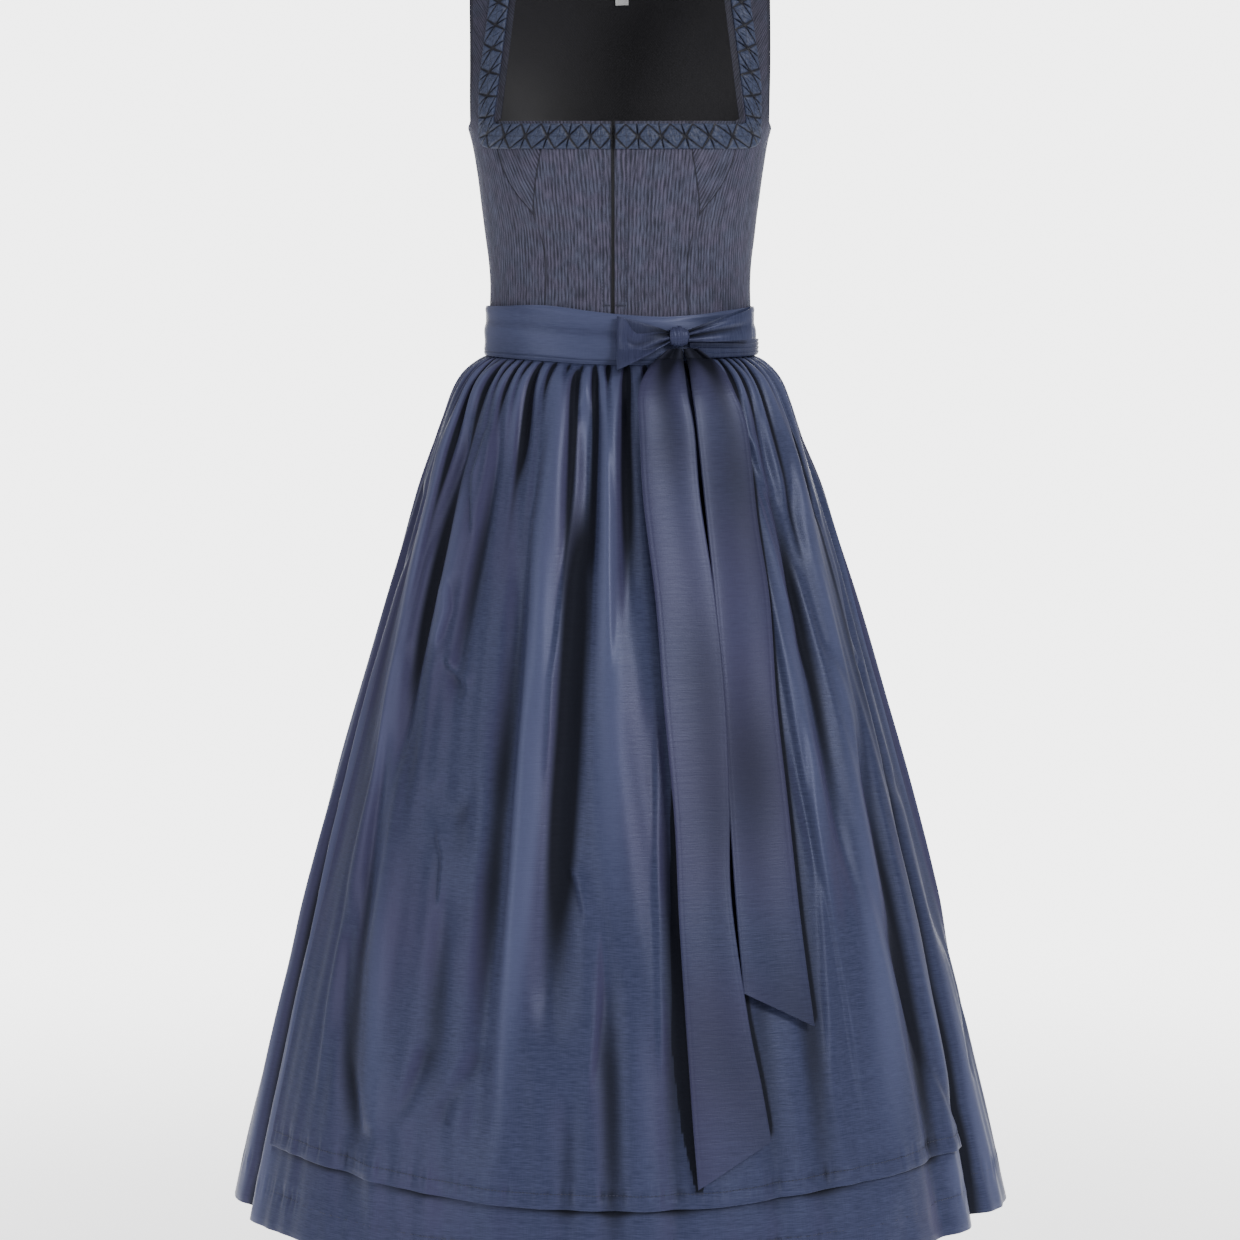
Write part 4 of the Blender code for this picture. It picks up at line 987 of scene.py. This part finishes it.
def trim_track(side, fine):
    """Inner and outer edge of the ribbon in width and height, from shoulder to zip, at even
    steps of its pleats, with the number of the pleat at each step."""
    slit = SLIT_CENTRE + side * (SLIT_HALF + 0.0004)
    share = np.linspace(0, 1, 60)
    middle = NECK_HALF - NECK_SPREAD * TRIM_LOWER * share + TRIM_OFFSET + TRIM_WIDTH / 2
    track = torso(turn_at(middle, TRIM_LOWER * share), TRIM_LOWER * share)
    length = np.concatenate([[0], np.cumsum(np.linalg.norm(np.diff(track, axis=0), axis=1))])
    strap_steps = np.linspace(0, length[-1], 2 * STRAP_UNITS * fine + 1)
    even = np.interp(strap_steps, length, share)
    level = np.linspace(0, 1, 2 * FRONT_UNITS * fine + 1)[1:]
    edges = []
    for height, offset in ((TRIM_TOP, TRIM_OFFSET), (TRIM_LOWER, TRIM_OFFSET + TRIM_WIDTH)):
        down = height * even
        x = np.minimum(NECK_HALF - NECK_SPREAD * down + offset, TRIM_CORNER)
        corner = x[-1]
        x = np.concatenate([side * x, side * corner + (slit - side * corner) * level])
        z = np.concatenate([down, np.full(len(level), height)])
        turning, reach = len(down), (6 if offset == TRIM_OFFSET else 15)
        for _ in range(2):
            soft = np.stack([np.convolve(np.pad(line, reach, "edge"),
                                         np.full(2 * reach + 1, 1 / (2 * reach + 1)), "valid")
                             for line in (x, z)])
            near = ease(2.2 - np.abs(np.arange(len(x)) - turning) / (1.5 * reach))
            x, z = x + (soft[0] - x) * near, z + (soft[1] - z) * near
        edges.append((x, z))
    pleat = np.arange(len(edges[0][0])) / (2 * fine)
    return edges, pleat


def neck_trim(side, word):
    """Box pleated ribbon. Grooves run across at every whole pleat and from there slanting to
    both edges halfway, so that the cloth stands up in diamonds and small triangles."""
    fine = 14
    edges, pleat = trim_track(side, fine)
    (inner_x, inner_z), (outer_x, outer_z) = edges
    share = np.linspace(0, 1, 29)
    x = inner_x[:, None] + (outer_x - inner_x)[:, None] * share
    z = inner_z[:, None] + (outer_z - inner_z)[:, None] * share
    across = share[None, :] * 2 - 1
    cell = (pleat[:, None] + 0.5) % 1.0 - 0.5
    pitch, half = TRIM_PITCH, TRIM_WIDTH / 2
    wobble = 0.03 * ripple(pleat[:, None] * 5.0, across * 1.2, 20 + side)
    cell = cell + wobble * (1 - np.abs(cell) * 2) * 0.4
    upright = np.abs(cell) * pitch
    slant = np.abs(np.abs(cell) * 2 - np.abs(across)) / math.hypot(2 / pitch, 1 / half)
    groove = np.minimum(upright, slant)
    beyond = (np.abs(cell) * 2 > np.abs(across)).astype(float)
    cross = np.minimum((0.5 - np.abs(cell)) * pitch, np.abs(across) * half)
    puff = 1 - np.exp(-groove / 0.0011)
    relief = 0.0024 * puff - 0.0003 * beyond * np.exp(-cross / 0.0006)
    relief = relief + 0.0004 * ripple(pleat[:, None] * 30, across * 6, 30 + side) * puff
    rim = np.exp(-(1 - np.abs(across)) * half / 0.0008)
    relief = relief * (1 - 0.75 * rim) - 0.0004
    wide = 0.0011 - 0.0005 * np.abs(across)
    # painted shade: dark in the grooves and half as dark along the small cross dents in the
    # diamonds
    shade = np.exp(-(groove / wide) ** 2) + 0.45 * beyond * np.exp(-(cross / 0.0005) ** 2)
    turns = turn_at(x, z)
    under = torso(turns, z, TRIM_GAP * 0.4)
    over = torso(turns, z, TRIM_GAP * 0.4 + RIBBON_WALL + relief)
    cloth = Cloth()
    cloth.shell(over, under, pleat[:, None] * pitch, across * half, shade=shade, flip=side < 0)
    thing = show(cloth.build("looks_neck_trim_" + word, [RIBBON]), "ribbon_trim",
                 "neck_trim_" + word)


def hem_path(stops, allowance, thick):
    """Distances down the cloth and offsets inwards of a folded hem: flat, round, back up."""
    length = stops[-1]
    around = np.linspace(0, math.pi, 8)[1:-1]
    back_up = np.linspace(length, length - allowance, 12)
    down = np.concatenate([stops, length + thick / 2 * np.sin(around), back_up])
    inward = np.concatenate([np.zeros(len(stops)), thick / 2 * (1 - np.cos(around)),
                             np.full(12, thick)])
    return down, inward


def skirt_stops(length, count):
    """Depths that lie close together in the gathers and at the hem."""
    t = np.linspace(0, 1, count)
    warped = 0.45 * t + 0.55 * t ** 2.2
    return length * warped


def hem_pucker(turn, depth, line, seed):
    """Small puckers on both sides of a line of stitches, and the groove that the line draws."""
    near = (depth - line) / 0.007
    pull = ripple(turn * 110, depth * 60, seed) * 0.0007 * np.exp(-near ** 2)
    return pull - 0.0006 * np.exp(-((depth - line) / 0.0012) ** 2)


def skirt_uv(turn, depth):
    """Width of the uncut cloth at a turn, and the depth down it."""
    return turn * 0.37 + 0 * depth, depth + 0 * turn


def apron_edge(turn):
    """Depth of the apron's lower edge, which rises to the sides."""
    share = np.clip(turn / APRON_EDGE, -1, 1)
    return APRON_LENGTH - APRON_SIDE_RISE * np.sin(share * math.pi / 2) ** 2


def skirt_pieces():
    """Gathered skirt in a front and a back, sewn at the sides, with a hem turned up inside."""
    side = np.radians(np.linspace(58, 90, 96))
    middle = np.radians(np.linspace(-58, 58, 150))[1:-1]
    front = np.concatenate([-side[::-1], middle, side])
    back = np.linspace(math.pi / 2, 3 * math.pi / 2, 410)
    for name, turns in (("skirt_front", front), ("skirt_back", back)):
        stops = np.concatenate([[-0.024, -0.012, -0.004, 0.0], skirt_stops(SKIRT_LENGTH, 165)[1:]])
        down, inward = hem_path(stops, 0.036, CLOTH_FOLD)
        depth = down[:, None] + 0 * turns[None, :]
        turn = turns[None, :] + 0 * depth
        hem_line = SKIRT_LENGTH - 0.025 - 0.015 * np.abs(np.sin(turn)) ** 4
        lift = hem_pucker(turn, depth, hem_line, 41) - inward[:, None]
        points = skirt(turn, depth, lift)
        u, v = skirt_uv(turn, depth)
        cloth = Cloth()
        # painted shading of the folds and gathers, painted shade in the hem puckers, and a painted
        # shadow on the skirt just under the apron's hem
        painted_shading = painted_shading_of(turn, depth) - 260 * hem_pucker(turn, depth, hem_line, 41)
        below = depth - apron_edge(turn)
        painted_shading = painted_shading + 1.1 * np.exp(-np.abs(below) / 0.004) * (np.abs(turn) < APRON_EDGE)
        cloth.grid(points, u, v, 0, slope_of(points, turn), painted_shading, flip=True)
        line_turns = np.linspace(turns[0], turns[-1], 900)
        line = SKIRT_LENGTH - 0.025 - 0.015 * np.abs(np.sin(line_turns)) ** 4
        stitches = skirt(line_turns, line, hem_pucker(line_turns, line, line, 41) + 0.0002)
        outs = stitches - skirt(line_turns, line, -0.01)
        stitch_line(cloth, stitches, outs / 0.01, 1)
        thing = show(cloth.build("looks_" + name, [TAFFETA, THREAD]), "taffeta", name)


def tail_shadow(points):
    """Painted shadow on the apron in the opening on the left of the front tail and along the
    right edge of both tails."""
    x, below = points[..., 0], -points[..., 2]
    opening = np.interp(below, TAIL_OPENING[:, 0], TAIL_OPENING[:, 1])
    edge = np.interp(below, -FRONT_TAIL[:, 0], FRONT_TAIL[:, 1])
    dark = 3.0 * ease((x - opening) / 0.003 + 0.5) * ease((edge + 0.006 - x) / 0.002)
    dark = dark * ease((below - 0.80) / 0.06) * ease((1.192 - below) / 0.015)
    for table in (FRONT_TAIL, BACK_TAIL):
        edge = np.interp(below, -table[:, 2], table[:, 3]) + 0.0008
        line = 1.3 * np.exp(-((x - edge) / 0.0026) ** 2) * ease((-table[-1, 2] - below) / 0.01)
        dark = dark + line * ease((below - 0.50) / 0.05)
    return dark


def apron():
    """Gathered apron over the skirt. Its hem rises to the sides and all edges are folded."""
    inside = np.linspace(-APRON_EDGE + 0.004, APRON_EDGE - 0.004, 366)
    across, tuck = hem_path(inside, 0.0, CLOTH_FOLD)
    fold = np.linspace(0, 0.022, 5)
    ends = [APRON_EDGE - 0.004 + 0.0018 * math.sin(a) for a in np.linspace(0, math.pi, 7)[1:-1]]
    right = np.concatenate([ends, APRON_EDGE - 0.004 - fold])
    tucked = np.concatenate([CLOTH_FOLD / 2 * (1 - np.cos(np.linspace(0, math.pi, 7)[1:-1])),
                             np.full(5, CLOTH_FOLD)])
    turns = np.concatenate([-right[::-1], inside, right])
    side_in = np.concatenate([tucked[::-1], np.zeros(len(inside)), tucked])
    stops = skirt_stops(APRON_LENGTH - 0.0006, 190)
    down, inward = hem_path(stops, 0.0130, CLOTH_FOLD)
    turn = turns[None, :] + 0 * down[:, None]
    rise = APRON_LENGTH - apron_edge(turn)
    depth = down[:, None] + 0.001 - rise * (down[:, None] / APRON_LENGTH) ** 3
    gap = APRON_GAP + APRON_HANG * (depth / APRON_LENGTH) ** 2 + APRON_WALL
    hem_line = APRON_LENGTH - 0.0130 - rise
    lift = gap + hem_pucker(turn, depth, hem_line, 43) - inward[:, None] - side_in[None, :]
    points = skirt(turn, depth, lift)
    u, v = skirt_uv(turn, depth)
    cloth = Cloth()
    # painted shading of the folds, gathers and hem puckers, and the painted shadows beside the
    # tails
    painted_shading = painted_shading_of(turn, depth) - 260 * hem_pucker(turn, depth, hem_line, 43)
    painted_shading = painted_shading + tail_shadow(points)
    cloth.grid(points, u + 0.11, v, 0, slope_of(points, turn), painted_shading, flip=True)
    line_turns = np.linspace(-APRON_EDGE, APRON_EDGE, 600)
    line = apron_edge(line_turns) - 0.0130
    gap = APRON_GAP + APRON_HANG * (line / APRON_LENGTH) ** 2 + APRON_WALL
    stitches = skirt(line_turns, line, gap + hem_pucker(line_turns, line, line, 43) + 0.0002)
    outs = stitches - skirt(line_turns, line, gap - 0.01)
    stitch_line(cloth, stitches, outs / 0.01, 1)
    thing = show(cloth.build("looks_apron", [TAFFETA, THREAD]), "taffeta", "apron")


def apron_band():
    """Waistband of the apron with soft lengthwise wrinkles and a piped lower edge."""
    turns = np.linspace(-math.pi, math.pi, 420, endpoint=False)[None, :]
    share = dense_ends(40)[:, None]
    top, foot = BAND_TOP + band_wave(turns, 1), BAND_BOTTOM + band_wave(turns, 2)
    heights = top + (foot - top) * share
    edge = np.minimum(share, 1 - share) * (BAND_TOP - BAND_BOTTOM)
    swell = 0.0036 - 0.0012 * np.exp(-(edge / 0.0022) ** 2)
    wrinkle = 0.0007 * ripple(7 * np.cos(turns) + 0 * share, heights * 170 + 5 * np.sin(turns), 51,
                              0.8, 1.6)
    pull = 0.0014 * np.exp(-((heights + 0.389 + 0.006 * np.sin(turns * 2 + 0.7)) / 0.0040) ** 2)
    groove = -0.0007 * np.exp(-((heights - foot - 0.0042) / 0.0008) ** 2)
    outs = swell + (wrinkle - pull * 0.6) * ease(edge / 0.006) + groove
    outer = band_point(turns, heights, outs)
    inner = band_point(turns, heights, 0.0006)
    cloth = Cloth()
    # painted shading: painted shade in the groove above the piped edge and along the pulled
    # crease, a painted highlight on the wrinkles and, through the offset of -0.70, over the whole
    # band
    painted_shading = 0.8 * np.exp(-((heights - foot - 0.0042) / 0.0007) ** 2) + 200 * (pull - wrinkle)
    cloth.shell(outer, inner, turns * 0.13 + 0 * share, heights, painted_shading=painted_shading - 0.70, flip=True,
                ring=True)
    thing = show(cloth.build("looks_apron_band", [TAFFETA]), "taffeta", "apron_band")


def tie_wrap():
    """End of the tie, folded into lengthwise layers on the lower half of the band."""
    columns = 90
    turns = np.linspace(band_turn(0.0672), math.radians(84), columns)[None, :]
    share = np.linspace(0, 1, 49)[:, None]
    top = np.linspace(-0.3955, -0.3990, columns) + 0.0010 * np.sin(np.linspace(0, 5, columns))
    heights = top + (-0.4160 - top) * share
    step = (share * 4.0 + 0.5 * np.sin(turns * 5.0) * share * (1 - share)) % 1.0
    layers = 0.0013 * (1 - step) ** 1.5 * ease(step / 0.12) + 0.0006 * (1 - share)
    edge = np.exp(-np.minimum(share, 1 - share) * 0.018 / 0.0007)
    under = band_point(turns, heights, 0.0037)
    over = band_point(turns, heights, 0.0041 + 0.0013 + layers - 0.0009 * edge)
    cloth = Cloth()
    cloth.shell(over, under, share * 0.02 + 0 * turns, turns * 0.13 + 0 * share, flip=True)
    thing = show(cloth.build("looks_apron_tie_wrap", [TAFFETA]), "taffeta", "apron_tie_wrap")


def bow_knot():
    """Knot of the bow: a strip wrapped over the roots of the loops, open to both sides, with
    folds that follow the wrap."""
    along = np.linspace(-1, 1, 60)[:, None]
    round_ = np.linspace(0, 2 * math.pi, 96, endpoint=False)[None, :]
    wide = np.cos(along * 1.15) ** 0.45
    folds = 0.07 * np.sin(7.0 * along + 0.8 * np.sin(round_) + 0.5) * (0.6 + 0.4 * np.cos(round_))
    folds = folds + 0.025 * np.sin(19 * along + 1.5 * np.cos(round_ + 0.6))
    size = 0.94 * wide * (1 + folds)
    x = KNOT_X + KNOT_HALF_WIDTH * along * (1 - 0.10 * np.cos(round_) ** 2)
    centre, half = (KNOT_NEAR + KNOT_FAR) / 2, (KNOT_FAR - KNOT_NEAR) / 2
    out = centre + half * size * np.sin(round_)
    height = KNOT_Z + KNOT_HALF_HEIGHT * size * np.cos(round_)
    points = band_point(band_turn(x), height, out)
    cloth = Cloth()
    cloth.grid(points, along * 0.010 + 0 * round_, round_ * 0.010 + 0 * along, ring=True)
    thing = show(cloth.build("looks_bow_knot", [TAFFETA]), "taffeta", "bow_knot")


def bow_loop(name, side, root, reach, end_half, rise, stand, mouth, seed):
    """Flat loop of ribbon: out beside the band, round at its end and back in front, with folds
    that fan out of the knot. The mouth is how far the front layer's upper edge hangs open."""
    t = np.linspace(0.0, 1.0, 130)[:, None]
    share = np.linspace(-1, 1, 44)[None, :]
    far = np.sin(math.pi * t) ** 0.8
    x = KNOT_X + side * (root + (reach - root) * far) + 0 * share
    out = stand + 0.0060 * t + 0.0070 * np.maximum(0, -np.sin(2 * math.pi * t)) ** 0.8
    half = 0.0052 + (end_half - 0.0052) * far ** 0.9
    fall = mouth * ease((t - 0.68) / 0.14) * (1 - 0.4 * ease((t - 0.85) / 0.15))
    height = KNOT_Z + rise * far + half * (share - fall * (share + 1) / 2)
    flare = 0.0035 * far * share ** 2 * (t - 0.5)
    fan = np.sin(share * 6.5 + seed + 1.2 * np.sin(seed * 3 + share * 2.0))
    fan = 0.0016 * fan * np.exp(-far / 0.45) * (t > 0.5) * ease((t - 0.5) / 0.15)
    dent = -0.0035 * np.exp(-((share - 0.15 * seed) / 0.30) ** 2) * ease((t - 0.55) / 0.3)
    over_puff = LOOP_LEAN * np.maximum(0, BAND_BOTTOM + 0.010 - height)
    face = band_point(band_turn(x), height, out + flare + over_puff + fan + dent * far)
    normal = np.cross(np.gradient(face, axis=0), np.gradient(face, axis=1))
    normal /= np.linalg.norm(normal, axis=-1, keepdims=True)
    thick = RIBBON_WALL / 2 * (1 - 0.6 * np.abs(share) ** 12)
    cloth = Cloth()
    # painted shading: painted shade darkest at the knot, in the dent, in the troughs of the fan
    # folds and on the back layer behind the mouth, with a slight painted highlight further out
    cloth.shell(face + normal * thick[..., None], face - normal * thick[..., None],
                (share * half) + 0 * t, t * 2 * reach + 0 * share, flip=side > 0,
                painted_shading=1.1 * (1 - far) ** 1.3 - 0.35 - 260 * (fan + dent * far) * (t > 0.5)
                + 0.15 * (t < 0.5) * (share > -0.2))
    thing = show(cloth.build("looks_" + name, [TAFFETA]), "taffeta", name)


def bow_tail(name, table, seed):
    """Free end of the tie, hanging clear of the apron's folds to a slanted end."""
    rows = np.arange(len(table))
    fine = np.linspace(0, len(table) - 1, 190)
    left_z, left_x, right_z, right_x, outs = (read_table(fine, rows, table[:, k])
                                              for k in range(5))
    share = dense_ends(48, 0.6)[None, :]
    x = left_x[:, None] + (right_x - left_x)[:, None] * share
    z = left_z[:, None] + (right_z - left_z)[:, None] * share
    half, deep, square = skirt_ring(SKIRT_TOP - z)
    down = (SKIRT_TOP - z)
    curve = 0.0008 * np.cos(share * 2 * math.pi)
    start = np.exp(-np.maximum(down, 0) / 0.05)
    pleats = 0.0013 * np.cos(share * (9 + 3 * np.sin(seed)) + 2 * share ** 2 + seed) * start
    bends = 0.0008 * ripple(share * 1.4, z * 12, seed) * ease((down - 0.02) / 0.1)
    lift = outs[:, None] + curve + pleats + bends
    half, deep = half + lift, deep + lift
    y = -deep * (1 - (np.abs(x) / half) ** square) ** (1 / square)
    sheet = np.stack([x, y, z], axis=-1)
    normal = np.cross(np.gradient(sheet, axis=0), np.gradient(sheet, axis=1))
    normal /= np.linalg.norm(normal, axis=-1, keepdims=True)
    normal *= -np.sign(normal[..., 1:2])
    width = np.linalg.norm(sheet[:, -1] - sheet[:, 0], axis=1)[:, None]
    edge = np.minimum(share, 1 - share) * width
    hem = -0.00012 * np.exp(-((edge - 0.0045) / 0.0007) ** 2)
    hem = hem - 0.0004 * np.exp(-(edge / 0.0006) ** 2)
    cloth = Cloth()
    # painted shading: a little painted shade all over, more just below the knot and in the troughs
    # of the pleats and bends, and a painted highlight on the highest crests
    cloth.shell(sheet + normal * (RIBBON_WALL + hem)[..., None], sheet, share * 0.055 + 0 * z, z,
                shade=0.42, flip=True,
                painted_shading=0.3 - 260 * pleats - 190 * bends
                + 0.8 * np.exp(-np.maximum(down, 0) / 0.012))
    thing = show(cloth.build("looks_" + name, [TAFFETA]), "taffeta", name)


def stage():
    """Pale floor that fades into pale surroundings, soft lights and the camera of the photo."""
    mesh = bpy.data.meshes.new("floor")
    size = 3.0
    mesh.from_pydata([(-size, -size, -1.45), (size, -size, -1.45), (size, size, -1.45),
                      (-size, size, -1.45)], [], [(0, 1, 2, 3)])
    floor = bpy.data.objects.new("floor", mesh)
    bpy.context.scene.collection.objects.link(floor)
    g = Graph("floor", Roughness=0.95, Emission_Strength=2.2, Specular_IOR_Level=0.1)
    place = g.node("ShaderNodeTexCoord", output=3)
    parts = g.node("ShaderNodeSeparateXYZ", None, {0: place})
    across = g.vector(parts, Value(g, parts.socket.node.outputs[1]))
    radius = g.node("ShaderNodeVectorMath", {"operation": "LENGTH"}, {0: across}, output=1)
    tint = g.mix(g.place_noise(0.8), colour(240, 240, 240), colour(247, 247, 247))
    g.set("Base Color", tint)
    depth = Value(g, parts.socket.node.outputs[1])
    # painted light: the floor glows by its own emission, dimmer in front of the dress than behind
    # it
    g.set("Emission Color", g.mix(depth.between(-0.6, 0.7), colour(172, 172, 174), tint))
    g.set("Alpha", 1 - radius.between(0.6, 2.6))
    mesh.materials.append(g.material)

    world = bpy.data.worlds.new("studio")
    bpy.context.scene.world = world
    world.use_nodes = True
    g = Graph.__new__(Graph)
    g.tree, g.shader = world.node_tree, world.node_tree.nodes["Background"]
    toward = g.node("ShaderNodeVectorMath", {"operation": "DOT_PRODUCT"},
                    {0: g.node("ShaderNodeTexCoord", output=0), 1: (0.0, 0.9946, -0.1039)},
                    output=1)
    g.set("Color", g.mix(toward.between(0.93, 0.978), (0.10, 0.10, 0.105, 1), (1, 1, 1, 1)))
    g.shader.inputs["Strength"].default_value = 4.6

    def area(name, place, aim, energy, width):
        light = bpy.data.lights.new(name, "AREA")
        light.energy = energy
        light.size = width
        lamp = bpy.data.objects.new(name, light)
        lamp.location = place
        direction = np.array(aim) - np.array(place)
        yaw = math.atan2(direction[0], -direction[1])
        pitch = math.atan2(math.hypot(direction[0], direction[1]), -direction[2])
        lamp.rotation_euler = (pitch, 0.0, yaw + math.pi)
        bpy.context.scene.collection.objects.link(lamp)

    area("key", (2.4, -3.2, 1.5), (0, 0, -0.7), 100, 1.3)
    area("fill", (-3.0, -2.6, 0.2), (0, 0, -0.7), 32, 2.2)
    area("back", (0.5, 3.4, 1.8), (0, 0, -0.6), 45, 2.4)

    camera = bpy.data.cameras.new("camera")
    camera.sensor_width = 36
    camera.lens = 133.55
    camera.clip_end = 100
    eye = bpy.data.objects.new("camera", camera)
    eye.location = (0, -4.575, -0.204)
    eye.rotation_euler = (math.atan2(4.575, 0.682 - 0.204), 0, 0)
    bpy.context.scene.collection.objects.link(eye)
    bpy.context.scene.camera = eye


front_pieces()
back_pieces()
zip_tape()
neck_trim(-1, "left")
neck_trim(1, "right")
skirt_pieces()
apron()
apron_band()
tie_wrap()
bow_knot()
bow_loop("bow_loop_left", -1, 0.0088, 0.0575, 0.0255, -0.0053, 0.0067, 0.62, 0.8)
bow_loop("bow_loop_right", 1, 0.0083, 0.0660, 0.0155, 0.0117, 0.0085, 0.0, -0.6)
bow_tail("bow_tail_back", BACK_TAIL, 61)
bow_tail("bow_tail_front", FRONT_TAIL, 62)
stage()
